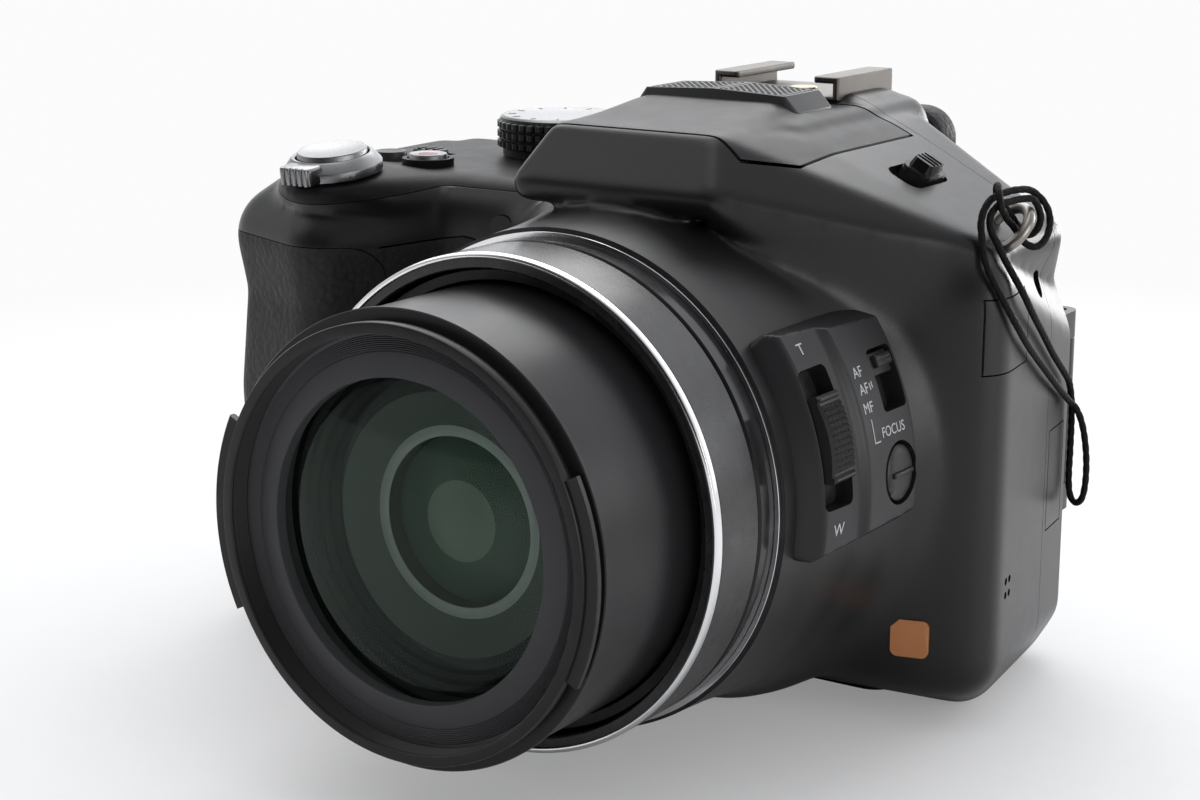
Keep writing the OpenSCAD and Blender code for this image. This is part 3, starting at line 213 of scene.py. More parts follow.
DARK_GLASS = material("dark_glass", (0.006, 0.007, 0.009), 0.06, 4.0, 0.001, Coat_Weight=0.6)
CORD = material("cord_black", (0.007, 0.007, 0.0075), 0.65, 0.12, 0.02, Specular_IOR_Level=0.1)
# Painted reflection: the second lens is coloured dark green-grey for the glint of its coating, and its middle
# lighter for a reflection at its centre.
COATING_REFLECTION = material("painted_coating_reflection", (0.034, 0.055, 0.04), 0.25, 3.0, 0, vary=0.15, Specular_IOR_Level=0.2)
CENTRE_REFLECTION = material("cell_eye", (0.1, 0.135, 0.1), 0.25, 3.0, 0, vary=0.2, Specular_IOR_Level=0.2)
CELL_RING = material("cell_ring", (0.2, 0.21, 0.205), 0.4, 0.3, 0.004)
# Painted reflection: the annulus round the second lens is coloured dark green-grey for the look of coated
# glass.
ZONE_COATING_REFLECTION = material("painted_zone_reflection", (0.034, 0.042, 0.038), 0.35, 3.0, 0, Specular_IOR_Level=0.15)
CLEAR = material("window_clear", (0.85, 0.85, 0.82), 0.2, 1.5, 0.05, Transmission_Weight=0.7)


def clear_glass(name, tint, gloss):
    """Coated glass: tinted to look through, with a weak reflection that grows towards its edge."""
    made = bpy.data.materials.new(name)
    made.use_nodes = True
    made.diffuse_color = (*tint, 0.4)
    nodes = Nodes(made.node_tree)
    where = nodes.add("TexCoord").outputs["Object"]
    dust = nodes.mix(nodes.noise(where, 4.0, 5.0), shade(tint, 0.97), shade(tint, 1.02))
    through = nodes.add("BsdfTransparent", {"Color": dust})
    shine = nodes.add("BsdfGlossy", {"Color": (0.8, 0.95, 0.85, 1), "Roughness": 0.03})
    facing = nodes.add("LayerWeight", {"Blend": 0.5}).outputs["Facing"]
    share = nodes.math("ADD", 0.008, nodes.math("MULTIPLY", nodes.math("POWER", facing, 3.0), gloss))
    blend = nodes.add("MixShader", {0: share, 1: through.outputs[0], 2: shine.outputs[0]})
    made.node_tree.links.new(blend.outputs[0], made.node_tree.nodes["Material Output"].inputs["Surface"])
    return made


GLASS = clear_glass("lens_glass", (0.9, 0.94, 0.915), 0.3)


# Making meshes, in millimetres

def mesh_from(points, faces):
    mesh = bpy.data.meshes.new("form")
    mesh.from_pydata([tuple(map(float, p)) for p in points], [], faces)
    mesh.update()
    return mesh


def from_bmesh(bm):
    bmesh.ops.recalc_face_normals(bm, faces=bm.faces)
    mesh = bpy.data.meshes.new("form")
    bm.to_mesh(mesh)
    bm.free()
    return mesh


def to_bmesh(mesh):
    bm = bmesh.new()
    bm.from_mesh(mesh)
    return bm


def solid_from(points, faces):
    """A closed form whose faces all look outwards."""
    return from_bmesh(to_bmesh(mesh_from(points, faces)))


def bands(rows, n):
    """The faces between rows of n points that each run once round."""
    return [(i * n + k, i * n + (k + 1) % n, (i + 1) * n + (k + 1) % n, (i + 1) * n + k)
            for i in range(rows - 1) for k in range(n)]


def place(x, y, z=0):
    return Matrix.Translation((x, y, z))


def together(*meshes):
    """Several closed forms as one mesh, without joining them."""
    bm = bmesh.new()
    for mesh in meshes:
        bm.from_mesh(mesh)
    return from_bmesh(bm)


def moved(mesh, matrix):
    mesh.transform(matrix)
    return mesh


def evaluated(holder):
    """The mesh that an object comes to; the object itself goes."""
    scene.collection.objects.link(holder)
    made = bpy.data.meshes.new_from_object(holder.evaluated_get(bpy.context.evaluated_depsgraph_get()))
    bpy.data.objects.remove(holder)
    return made


def shaped(mesh, *steps):
    """The mesh after these modifiers, each given as its kind and settings."""
    holder = bpy.data.objects.new("holder", mesh)
    for kind, settings in steps:
        modifier = holder.modifiers.new(kind, kind)
        for key, value in settings.items():
            setattr(modifier, key, value)
    return evaluated(holder)


def combine(mesh, tools, operation):
    holders = []
    for tool in tools:
        holders.append(bpy.data.objects.new("tool", tool))
        scene.collection.objects.link(holders[-1])
    made = shaped(mesh, *(("BOOLEAN", {"operation": operation, "object": h, "solver": "MANIFOLD"})
                          for h in holders))
    for holder in holders:
        bpy.data.objects.remove(holder)
    return made


def cut(mesh, *tools):
    return combine(mesh, tools, "DIFFERENCE")


def keep(mesh, tool):
    return combine(mesh, [tool], "INTERSECT")


def add(mesh, *others):
    return combine(mesh, others, "UNION")


def rounded_edges(mesh, width, segments=2):
    return shaped(mesh, ("BEVEL", {"width": width, "segments": segments, "limit_method": "ANGLE",
                                   "angle_limit": math.radians(32)}))


def unit_ball():
    bm = bmesh.new()
    bmesh.ops.create_icosphere(bm, subdivisions=4, radius=1)
    points = np.array([v.co for v in bm.verts])
    bm.free()
    return points


BALL = unit_ball()


def hull(*balls):
    """The tight skin round some balls, each (x, y, z, radius)."""
    bm = bmesh.new()
    for x, y, z, r in balls:
        for p in BALL * r + (x, y, z):
            bm.verts.new(p)
    bmesh.ops.convex_hull(bm, input=bm.verts)
    bmesh.ops.delete(bm, geom=[v for v in bm.verts if not v.link_faces], context="VERTS")
    return from_bmesh(bm)


def frustum(under, above, low, high):
    """One outline in X and Y joined to another with as many points, from low to high."""
    n = len(under)
    points = [*((x, y, low) for x, y in under), *((x, y, high) for x, y in above)]
    return solid_from(points, [tuple(range(n)), tuple(range(n, 2 * n)), *bands(2, n)])


def prism(outline, low, high):
    """An outline in X and Y, drawn up from low to high."""
    return frustum(outline, outline, low, high)


def span(a, b):
    return prism([(a[0], a[1]), (b[0], a[1]), (b[0], b[1]), (a[0], b[1])], a[2], b[2])


def circle(r, sides=64, middle=(0, 0)):
    turn = np.linspace(0, 2 * math.pi, sides, endpoint=False)
    return [(middle[0] + r * math.cos(t), middle[1] + r * math.sin(t)) for t in turn]


def rounded(a, b, r, steps=8):
    """The outline of a rectangle with rounded corners."""
    out = []
    corners = ((b[0] - r, b[1] - r), (a[0] + r, b[1] - r), (a[0] + r, a[1] + r), (b[0] - r, a[1] + r))
    for k, (x, y) in enumerate(corners):
        for t in np.linspace(k, k + 1, steps + 1) * math.pi / 2:
            out.append((x + r * math.cos(t), y + r * math.sin(t)))
    return out


ALONG_X = Matrix(((0, 0, 1, 0), (1, 0, 0, 0), (0, 1, 0, 0), (0, 0, 0, 1)))
ALONG_Y = Matrix(((1, 0, 0, 0), (0, 0, 1, 0), (0, -1, 0, 0), (0, 0, 0, 1)))


def along_x(outline, x0, x1):
    """An outline in Y and Z, drawn along X."""
    return moved(prism(outline, x0, x1), ALONG_X)


def rod_x(x0, x1, y, z, r, sides=64):
    return along_x(circle(r, sides, (y, z)), x0, x1)


def along_y(outline, y0, y1):
    """An outline in X and Z, drawn along Y."""
    return moved(prism([(x, -z) for x, z in outline], y0, y1), ALONG_Y)


def rod_y(y0, y1, x, z, r, sides=64):
    return along_y(circle(r, sides, (x, z)), y0, y1)


def rod_z(z0, z1, at, r, sides=64):
    return prism(circle(r, sides, at), z0, z1)


def turned(profile, sides=200):
    """A closed profile of (radius, height) points, turned about Z. Points on the axis have radius 0."""
    points, rows, faces = [], [], []
    for r, z in profile:
        if r == 0:
            rows.append([len(points)] * sides)
            points.append((0, 0, z))
        else:
            rows.append(list(range(len(points), len(points) + sides)))
            points.extend((x, y, z) for x, y in circle(r, sides))
    for row, after in zip(rows, rows[1:] + rows[:1]):
        for i in range(sides):
            j = (i + 1) % sides
            face = list(dict.fromkeys((row[i], row[j], after[j], after[i])))
            if len(face) > 2:
                faces.append(face)
    return solid_from(points, faces)


LENS_AXIS = place(0, 0, LENS_Z) @ ALONG_Y


def lens_ring(profile, sides=256):
    """A profile of (radius, y) points, turned about the lens axis."""
    return moved(turned(profile, sides), LENS_AXIS)


def relax(mesh, steps, weight=None):
    """Draws each point towards its neighbours, by a weight for each point."""
    n = len(mesh.vertices)
    flat = np.empty(n * 3)
    mesh.vertices.foreach_get("co", flat)
    co = flat.reshape(-1, 3)
    ends = np.empty(len(mesh.edges) * 2, int)
    mesh.edges.foreach_get("vertices", ends)
    a, b = ends.reshape(-1, 2).T
    count = np.bincount(ends, minlength=n)[:, None]
    pull = 0.5 if weight is None else 0.5 * weight(co)[:, None]
    for _ in range(steps):
        sums = [np.bincount(a, co[b, k], n) + np.bincount(b, co[a, k], n) for k in range(3)]
        total = np.stack(sums, axis=1)
        co += pull * (total / count - co)
    mesh.vertices.foreach_set("co", co.ravel())
    mesh.update()
    return mesh


def soften(mesh, voxel, steps):
    """The mesh fused on a fine grid, with its edges rounded."""
    return relax(shaped(mesh, ("REMESH", {"mode": "VOXEL", "voxel_size": voxel})), steps)


def ramp(x, low, high):
    t = np.clip((x - low) / (high - low), 0, 1)
    return t * t * (3 - 2 * t)


def piece(name, mesh, finishes, body, slot, *stands_for, sharp=35):
    """Hands a finished form to its body. finishes is one material, or a list that the faces index."""
    mesh.transform(Matrix.Scale(MM, 4))
    numbers = np.empty(len(mesh.polygons), np.int32)
    mesh.polygons.foreach_get("material_index", numbers)
    mesh.materials.clear()
    for finish in finishes if isinstance(finishes, list) else [finishes]:
        mesh.materials.append(finish)
    mesh.polygons.foreach_set("material_index", numbers if isinstance(finishes, list) else numbers * 0)
    mesh.shade_smooth()
    mesh.set_sharp_from_angle(angle=math.radians(sharp))
    mesh.name = name
    made = bpy.data.objects.new(name, mesh)
    scene.collection.objects.link(made)
    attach(made, body)
    if stands_for:
        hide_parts(*stands_for)
    return made


def paint(mesh, choose):
    """Sets each face's material number from its middle, given in mm."""
    for face in mesh.polygons:
        face.material_index = choose(face.center)
    return mesh


# Cord: the route of the solid, a braid of strands wound both ways

CORD_D = 1.0
CORD_POINTS = [
    (43.5, -4.1, 70.2), (44.4, -2.6, 68.4), (45.4, -1.8, 68.7), (46, -1.6, 70.2), (46, -2.1, 71.8),
    (45.5, -3.2, 73.3), (44.7, -5, 73.5), (44.1, -7.2, 73.4), (43.5, -9.4, 73.2), (43, -10.7, 72.2),
    (43, -11.2, 71), (43.4, -11.2, 69.6), (44.2, -10.9, 68), (45, -9.8, 65.6), (46.7, -8, 61.5),
    (46.3, -3.4, 57.8), (45.3, 2.8, 53.8), (44.4, 9, 49.6), (43.8, 14.4, 46.1), (43.4, 17.6, 43.8),
    (43.1, 19.6, 40.4), (43.1, 19.9, 37), (43.1, 19.9, 33), (43.1, 19.9, 28.6), (43.5, 19.9, 26.2),
    (44.4, 19.9, 25.4), (45.3, 19.9, 26.3), (45.7, 19.9, 29), (45.6, 19.9, 32.8), (45, 19.7, 36.8),
    (44.3, 18.8, 39.6), (43.6, 16.7, 41.6), (44.9, 6.7, 47.1), (46.1, -3.3, 52.9), (46.9, -9.4, 56.9),
    (46.3, -12.8, 60.8), (44.4, -14, 65), (43.3, -13.5, 67.4), (42.6, -12.7, 69.4), (42.2, -12.2, 71),
    (42.2, -11.4, 72.6), (42.5, -9.9, 73.9), (43.2, -7.7, 74.5), (44, -5.2, 74.7), (44.9, -2.4, 74.3),
    (46.1, -0.6, 72.5), (46.8, -0.2, 70.3), (47, -1.6, 68.1), (46.4, -3.4, 67), (45.2, -4.6, 67.6),
    (43.9, -5.1, 69.5), (43.3, -6.4, 70.9), (43.9, -8.6, 72), (44.2, -10.5, 73.1), (43.9, -10.5, 74.5),
    (43, -9, 75.5), (42.1, -7.4, 75.3), (41.7, -6.4, 74.1), (42.2, -5.4, 72.6), (42.9, -4.7, 71.3),
    (43.4, -4.2, 70.4)]


def smooth_route(points, step):
    """A smooth curve through the points, with samples about a step apart."""
    p = np.array(points, float)
    p = np.vstack([p[:1], p, p[-1:]])
    out = []
    for a, b, c, d in zip(p, p[1:], p[2:], p[3:]):
        n = max(1, math.ceil(np.linalg.norm(c - b) / step))
        t = np.arange(n)[:, None] / n
        out.append(0.5 * (2 * b + (c - a) * t + (2 * a - 5 * b + 4 * c - d) * t ** 2
                          + (3 * b - a - 3 * c + d) * t ** 3))
    return np.vstack([*out, p[-1:]])


def braided(route, diameter, sides=20, strands=8, pitch=3.2, depth=0.045):
    """A tube along the route whose skin is woven from strands that wind both ways."""
    ahead = np.gradient(route, axis=0)
    ahead /= np.linalg.norm(ahead, axis=1)[:, None]
    run = np.concatenate([[0], np.cumsum(np.linalg.norm(np.diff(route, axis=0), axis=1))])
    turn = np.arange(sides) * 2 * math.pi / sides
    across = np.array((1.0, 0.0, 0.0))
    points = []
    for centre, along, s in zip(route, ahead, run):
        across = across - (across @ along) * along
        across /= np.linalg.norm(across)
        other = np.cross(along, across)
        left = np.cos(strands / 2 * turn + 2 * math.pi * s / pitch * 2)
        right = np.cos(strands / 2 * turn - 2 * math.pi * s / pitch * 2)
        r = diameter / 2 - depth * (1 - np.maximum(left, right))
        points.extend(centre + r[:, None] * (np.cos(turn)[:, None] * across + np.sin(turn)[:, None] * other))
    n = len(route)
    ends = [tuple(range(sides))[::-1], tuple(range((n - 1) * sides, n * sides))]
    return mesh_from(points, bands(n, sides) + ends)


cord_route = smooth_route(CORD_POINTS, 0.16)
cord = piece("cord", braided(cord_route, CORD_D), CORD, "camera", "cord_black", "lens_cord", sharp=80)


# Outer form of the body, fused and softened before it is parted

def deck_z(y):
    return DECK_H - max(0, SLOPE_Y - y) * math.tan(SHUTTER_TILT)


SHUTTER = place(-58, -24, deck_z(-24)) @ Matrix.Rotation(SHUTTER_TILT, 4, "X")
GRIP_PLAN = ((-71, -20), (-58, -25), (-49, -15), (-71, 13))
GRIP_TOP = ((-69, -17), (-58, -22.5), (-47, -14), (-68, 16), (-53, 16))


def grip_slice(z, r):
    return [(x, y, z, r) for x, y in GRIP_PLAN]


def both(*balls):
    return [(side * x, y, z, r) for x, y, z, r in balls for side in (-1, 1)]


def deck_block():
    return hull(*((x, y, z, 6) for x in (-65, -10)
                  for y, z in ((-12, 65), (-12, 10), (-6, 6), (21, 6), (21, 65))))


def nose():
    """The swelling under the zoom lever."""
    seat = [SHUTTER @ Vector((x, y, LEVER_SEAT - 1.2)) for x, y in circle(7, 24)]
    under = [(x, y, deck_z(y) - 6, 6) for x, y in (*GRIP_TOP[:3], (-58, -9))]
    return hull(*((*p, 1.2) for p in seat), *under)


def outer_form():
    top = [(x, y, deck_z(y) - 6, 6) for x, y in GRIP_TOP]
    brow = ((14.5, -34.5, 74.5, 2.5), (12, -30, 80.1, 2.5))
    forms = [
        nose(),
        hull(*grip_slice(7, 7), *grip_slice(36, 8)),
        hull(*grip_slice(36, 8), *grip_slice(52, 6.6)),
        hull(*grip_slice(52, 6.6), *grip_slice(60, 8)),
        hull(*grip_slice(60, 8), *top),
        deck_block(),
        hull(*((x, y, z, 6) for x, y, z in (
            (-10, -12, 65), (-10, -12, 10), (-10, -6, 6), (-10, 21, 6), (-10, 21, 65), (36.5, -2, 6),
            (34, 19, 6), (34, -12, 10), (34, -12, 61), (40, -10, 10), (40, -10, 61), (36, 21, 10),
            (36, 21, 49), (32.5, 20, 58)))),
        hull(*brow, *((x, y, z, 3) for x, y, z in (
            (17, -16, 78), (17, 17, 78), (17, -16, 60), (17, 17, 60), (41, -11, 66), (40.4, 12, 65.6),
            (37, 18, 59), (21, -27, 68), (28.5, -19, 58)))),
        hull(*both((22, -16, 62, 4), (22, 17, 62, 4), (13.5, -14, 78.8, 4), (13, 22, 79, 4))),
        hull(*both(*brow, (20, -12, 74.5, 2.5), (13.5, -8, 80.5, 2.5))),
        hull(*both((10.5, -24, 77.9, 5), (9.5, -12, 79.7, 5), (9.5, -2.6, 79.7, 5))),
        hull(*both((10.5, 11, 79.1, 5), (10.5, 20, 79.1, 5))),
        hull(*both((13, 10, 62, 3), (13, 28, 63, 3), (12, 27, 78, 3), (12, 10, 80, 3))),
        lens_ring([(0, -52), (COLLAR_R - 0.05, -52), (COLLAR_R, COLLAR_Y), (34.4, -40), (35.5, -30),
                   (37.3, -22), (39.9, -18), (32, -12), (0, -12)], 180),
    ]

    def flare(co):
        """Most where the collar runs out into the front face."""
        reach = np.hypot(co[:, 0], co[:, 2] - LENS_Z)
        return ramp(reach, 34.6, 38) * (1 - ramp(reach, 47, 54)) * ramp(co[:, 1], -44, -30) * (
            1 - ramp(co[:, 1], -16, -12)) * (1 - ramp(co[:, 2], 66, 70))

    fused = soften(together(*forms), 0.6, 8)
    return relax(fused, 60, flare)


outer = outer_form()


def lid_space(g):
    low = HUMP_TOP - 4.6 - g
    space = along_x([(-30.5 - g, FAR), (-30.5 - g, low + 1.2), (-24, low), (HINGE[0], low - 1.8),
                     (HINGE[0], FAR)], -21.5 - g, 21.5 + g)
    return add(space, rod_x(-21.5 - g, 21.5 + g, *HINGE, 4.5 + g))


def cap_space(g):
    return along_x([(-60, deck_z(-60) - CAP_T - g), (SLOPE_Y, DECK_H - CAP_T - g), (40, DECK_H - CAP_T - g),
                    (40, FAR), (-60, FAR)], -90, -25 + g)


def skin_space(g):
    return cut(along_y(rounded((-100, 4 - g), (-48 + g, 61 + g), 4), -40, 7 + g), deck_block())


def jack_space(g):
    return span((38, -14 - g, 51 - g), (51, -2 + g, 61 + g))


def side_frame(y, z):
    """Local X points out of the plain side."""
    return place(46 - (y + 10) * 4 / 31, y, z) @ Matrix.Rotation(SIDE_TILT, 4, "Z")


def terminal_space(g):
    return moved(span((-1.4 - g, -3.5 - g, -7.3 - g), (4, 3.5 + g, 7.3 + g)), side_frame(15.1, 30.4))


SLIDER = place(29.5, -4, 76.6) @ Matrix.Rotation(math.radians(29), 4, "Y")


def shoe_seat():
    """Room for the accessory shoe and for a foot that slides in from the back."""
    return span((-10.5, 6.75, HUMP_TOP), (10.5, FAR, FAR))


def deck_holes():
    return [rod_z(59, 76, MODE_AT, 3.3), rod_z(59, 76, MOVIE_AT, 3.3), rod_z(59, 76, FUNCTION_AT, 2.9),
            span((-59, -4.5, 59), (-56, 3.5, 76)),
            moved(rod_z(-14, 6, (0, 0), 5.6), SHUTTER), moved(rod_z(LEVER_SEAT, 10, (0, 0), 10), SHUTTER)]


def plate_pocket():
    """Room for the bottom plate, and for the battery above it."""
    return [prism(rounded((-72.1, -22.1), (-49.9, 16.1), 4.1), -1, 2.5),
            prism(rounded((-63.1, -5.6), (27.1, 18.1), 4.1), -1, 2.5), span((*BAY[0], 1), (*BAY[1], 61)),
            rod_z(-1, 10, (0, 0), 6.1)]


def front_cover():
    body = keep(outer, span((-FAR, COLLAR_Y, 0), (FAR, SEAM_Y, FAR)))
    body = cut(body, lid_space(LID_GAP), shoe_seat(), cap_space(SEAM), skin_space(SEAM), jack_space(0.22),
               *plate_pocket(),
               rod_y(-90, -4, 0, LENS_Z, SLEEVE_R, 256), span((-15, -29.3, 72.5), (15, 6.5, FAR)),
               span((-15, 3.5, 74.5), (15, 8, 79)), rod_y(-40, -15, *LAMP_AT, 2.3))
    body = cut(body, *deck_holes(), moved(rod_x(-4, 3, 0, 0, 1.9, 48), side_frame(7.4, 59.8)),
               moved(prism(rounded((-2.8, -5.5), (2.8, 5.5), 2), -3, 6), SLIDER),
               *(rod_x(36, 48, -6.4 + 0.8 * y, 19.8 + z, 0.55, 24) for y in (-1, 1) for z in (-1, 1)))
    lugs = [shape for x in (-10.25, 10.25) for shape in (
        span((x - 1.25, 1.7, 71.5), (x + 1.25, 5.3, 79)), rod_x(x - 1.25, x + 1.25, *HINGE, 1.8))]
    return cut(add(body, *lugs), rod_x(-11.6, 11.6, *HINGE, 1.35))


def rear_cover():
    body = keep(outer, span((-FAR, SEAM_Y + SEAM, 0), (FAR, FAR, FAR)))
    body = cut(body, lid_space(LID_GAP), shoe_seat(), cap_space(SEAM), *plate_pocket(), terminal_space(0.22),
               span((-35.9, 20.4, 5.6), (FAR, FAR, 58.4)), span((-7.5, 19, 65.5), (7.5, FAR, 76.5)),
               rod_x(13.2, FAR, *DIOPTER_AT, 4.9), rod_x(10, 14, *DIOPTER_AT, 1.5))
    body = cut(body, *deck_holes(),
               rod_z(60.7, 65.3, REAR_WHEEL_AT, 7.3, 96), rod_z(57, 69, REAR_WHEEL_AT, 1.8),
               rod_y(24, FAR, -51, 22, 9.3, 96), rod_y(24, FAR, -51, 40, 3.1),
               span((-64.1, 25.3, 37.9), (-55.9, FAR, 56.1)))
    lugs = [shape for z in (23, 49) for shape in (
        rod_z(z, z + 4, SCREEN_PIN, 2.6), span((35.9, 19.4, z), (41.1, 24, z + 4)))]
    return cut(add(body, *lugs), rod_z(22, 54, SCREEN_PIN, 1.3))


def flash_lid():
    body = keep(outer, lid_space(0))
    return cut(body, span((-14.6, -28.5, 60), (14.6, 3.5, 81.2)), span((-14.6, 2.5, 60), (14.6, 20, 79)),
               rod_x(-14.6, 14.6, *HINGE, 3.1), prism(rounded((-13.3, -11.1), (13.3, 0.9), 1.6), 82.6, 90))


def top_cover():
    rim = rod_z(68, 72.2, MOVIE_AT, 4)
    return cut(add(keep(outer, cap_space(0)), rim), *deck_holes())


RUBBER_EDGE = ((-48.3, 61), (-38.5, 62.6), (-36.6, 62.4), (-35.2, 61.4), (-34.6, 59.6), (-34.6, 30))


def rubber_line(g):
    """Room on the front face inside the edge of the rubber."""
    outline = [(x - g, z - g) for x, z in RUBBER_EDGE]
    return along_y([(-48.3, 30), *outline], -30, -17.7)


def on_rubber(face):
    c = face.center
    edge = np.interp(c.x, [x for x, z in RUBBER_EDGE[:5]], [z for x, z in RUBBER_EDGE[:5]])
    return c.y < -17.2 and -49.5 < c.x < -34.7 and c.z < edge - 0.15 and face.normal.y < -0.4


front_shell = cut(front_cover(), cut(rubber_line(0), rubber_line(0.3)))
for face in front_shell.polygons:
    face.material_index = int(on_rubber(face))
piece("front_shell", front_shell, [BLACK, RUBBER], "camera", "black_plastic", "front_cover")
piece("rear_shell", rear_cover(), BLACK, "camera", "black_plastic", "rear_cover")
piece("top_deck", top_cover(), TOP, "camera", "deck_plastic", "top_cover")
piece("flash_cover", flash_lid(), DECK, "flash", "deck_plastic", "flash_lid")
piece("grip_skin", cut(keep(outer, skin_space(0)), span((*BAY[0], -5), (*BAY[1], 59))), RUBBER, "camera",
      "grip_rubber", "grip_rubber")
piece("jack_flap", keep(outer, jack_space(0)), BLACK, "camera", "black_plastic", "jack_cover")
piece("terminal_flap", keep(outer, terminal_space(0)), BLACK, "terminal_lid", "black_plastic",
      "terminal_door")


# Lens: every ring is turned from its profile

def grooves(r, y0, y1, pitch, depth):
    """Fine V grooves along a line of constant radius."""
    n = round(abs(y1 - y0) / pitch)
    return [(r + depth * (k % 2), y) for k, y in enumerate(np.linspace(y0, y1, 2 * n + 1))]


def cone_grooves(a, b, pitch, depth):
    """Fine steps on the slope between two points of a profile."""
    n = round(math.dist(a, b) / pitch)
    out = []
    for k in range(n):
        for t, drop in ((k / n, 0), ((k + 0.5) / n, depth)):
            out.append((a[0] + (b[0] - a[0]) * t, a[1] + (b[1] - a[1]) * t + drop))
    return out + [b]


barrel_back = COLLAR_Y - 0.8
groove_y = barrel_back - 3.1
bore = BARREL_R - 2.1
barrel = lens_ring([
    (bore, -7), (SLEEVE_R - 0.1, -7), (SLEEVE_R - 0.1, barrel_back), (BARREL_R - 0.15, barrel_back),
    (BARREL_R, barrel_back - 0.15), (BARREL_R, groove_y + 0.1), (BARREL_R - 0.1, groove_y),
    (BARREL_R - 0.4, groove_y - 0.15), (BARREL_R - 0.4, groove_y - 0.65), (BARREL_R - 0.1, groove_y - 0.8),
    (BARREL_R, groove_y - 0.9), (BARREL_R, BARREL_Y + 1.3), (BARREL_R - 0.8, BARREL_Y + 1.3),
    (BARREL_R - 0.8, BARREL_Y + 0.4), (bore + 0.2, BARREL_Y + 0.4), (bore, BARREL_Y + 0.6)])
paint(barrel, lambda c: 1 if c.y > groove_y - 0.9 else 0)
piece("barrel", barrel, [BARREL, GLOSS], "camera", "barrel_paint", "outer_barrel")
piece("bright_ring", lens_ring([
    (BARREL_R - 0.7, BARREL_Y + 0.05), (BARREL_R - 0.55, BARREL_Y), (BARREL_R - 0.35, BARREL_Y),
    (BARREL_R - 0.1, BARREL_Y + 0.15), (BARREL_R, BARREL_Y + 0.4), (BARREL_R, BARREL_Y + 1.15),
    (BARREL_R - 0.05, BARREL_Y + 1.2), (BARREL_R - 0.7, BARREL_Y + 1.2)]), CHROME, "camera", "trim_chrome",
      "trim_ring")
accent = lens_ring([
    (SLEEVE_R, barrel_back + 0.05), (COLLAR_R - 0.55, barrel_back + 0.05),
    (COLLAR_R - 0.5, barrel_back + 0.1), (COLLAR_R - 0.5, COLLAR_Y - 0.1),
    (COLLAR_R - 0.55, COLLAR_Y - 0.05), (SLEEVE_R, COLLAR_Y - 0.05)])
piece("accent_line", accent, CHROME, "camera", "trim_chrome", "accent_ring")
piece("first_tube", lens_ring([
    (28.8, -14), (30.3, -14), (30.3, -60.3), (30.15, -60.5), (28.95, -60.5), (28.8, -60.3)]), TUBE, "zoom",
      "tube_black", "zoom_tube")

THREAD_R = 26
front = lens_ring([
    (26.9, -24), (28.5, -24), (28.5, RING_Y + 3.5), (28.9, RING_Y + 3.35), (28.9, RING_Y + 2.75),
    (28.75, RING_Y + 2.6), (27, RING_Y + 2.5), (27, RING_Y + 1.75), (27.35, RING_Y + 1.55),
    (27.5, RING_Y + 1.4), (27.5, RING_Y + 0.2), (27.4, RING_Y + 0.05), (27.25, RING_Y),
    (26.2, RING_Y), (THREAD_R, RING_Y + 0.15),
    *grooves(THREAD_R, RING_Y + 0.3, RING_Y + 2.9, 0.65, 0.35), (THREAD_R, RING_Y + 3), (26.9, RING_Y + 3)])


def ring_part(profile, start, stop, steps=24):
    """Part of a ring about the lens axis, between two angles above the plain side."""
    n = len(profile)
    points = [(r * math.cos(a), y, LENS_Z + r * math.sin(a))
              for a in np.radians(np.linspace(start, stop, steps + 1)) for r, y in profile]
    ends = [tuple(range(n)), tuple(range(steps * n, steps * n + n))]
    return solid_from(points, bands(steps + 1, n) + ends)


lugs = [ring_part([(26.9, RING_Y + 0.45), (28.95, RING_Y + 0.45), (29.1, RING_Y + 0.6), (29.1, RING_Y + 1.3),
                   (28.95, RING_Y + 1.45), (26.9, RING_Y + 1.45)], a - 26, a + 26) for a in (0, 180)]
piece("front_barrel", add(front, *lugs), TUBE, "lens_front", "tube_black", "front_tube")
face_y = RING_Y + 3.1
inner_ring = lens_ring([
    (20.4, face_y - 0.85), (20.5, face_y - 0.97), (20.7, face_y - 0.96), (23.4, face_y - 0.45),
    *cone_grooves((23.5, face_y - 0.43), (25.7, face_y), 0.24, 0.1), (26.8, face_y), (26.8, face_y + 4.2),
    (22.3, face_y + 4.2), (22.3, face_y + 0.8), (20.4, face_y + 0.8)])
piece("inner_ring", inner_ring, RING, "lens_front", "tube_black", "name_ring")


def lens_form(vertex, curve, edge, back, hollow=0.0, steps=40):
    """A lens: a ball's cap in front, and a flat or hollow back."""
    radii = np.linspace(0, edge, steps)
    front_side = [(r, vertex + curve - math.sqrt(curve ** 2 - r * r)) for r in radii]
    back_side = [(r, back - hollow * (1 - (r / edge) ** 2)) for r in radii[::-1]]
    return lens_ring(front_side + back_side, 160)


piece("front_glass", lens_form(-82.6, 80, 22, -75.6, 1.2), GLASS, "lens_front", "lens_glass", "front_lens")
second = lens_form(-71, 28, 10.8, -65, 0.5)
# Painted reflection: the middle of the second lens takes the lighter green of a reflection at its centre.
paint(second, lambda c: 1 if math.hypot(c.x, c.z - LENS_Z) < 5.2 else 0)
piece("second_glass", second, [COATING_REFLECTION, CENTRE_REFLECTION], "lens_front", "lens_glass", "second_lens")
cell = lens_ring([
    (22.5, -75.3), (26.8, -75.3), (26.8, -63.3), (6, -63.3), (6, -64.8), (11, -64.8), (11, -71.1),
    (11.9, -71.3), (12.2, -71.2), (12.4, -71.2), *cone_grooves((17, -73), (22.3, -75.1), 1.4, 0.3)])


# Painted reflection: between the grey ring and the black baffle, the cell is coloured as coated glass.
def cell_finish(c):
    r = math.hypot(c.x, c.z - LENS_Z)
    return 1 if r < 12.3 and c.y < -70 else 2 if r < 17 and c.y < -70 else 0


paint(cell, cell_finish)
piece("lens_cell", cell, [BAFFLE, CELL_RING, ZONE_COATING_REFLECTION], "lens_front", "tube_black", "inner_cell")


# Control pod: built flat, with X up the side, Y along the lens and Z outwards, then wrapped round the axis

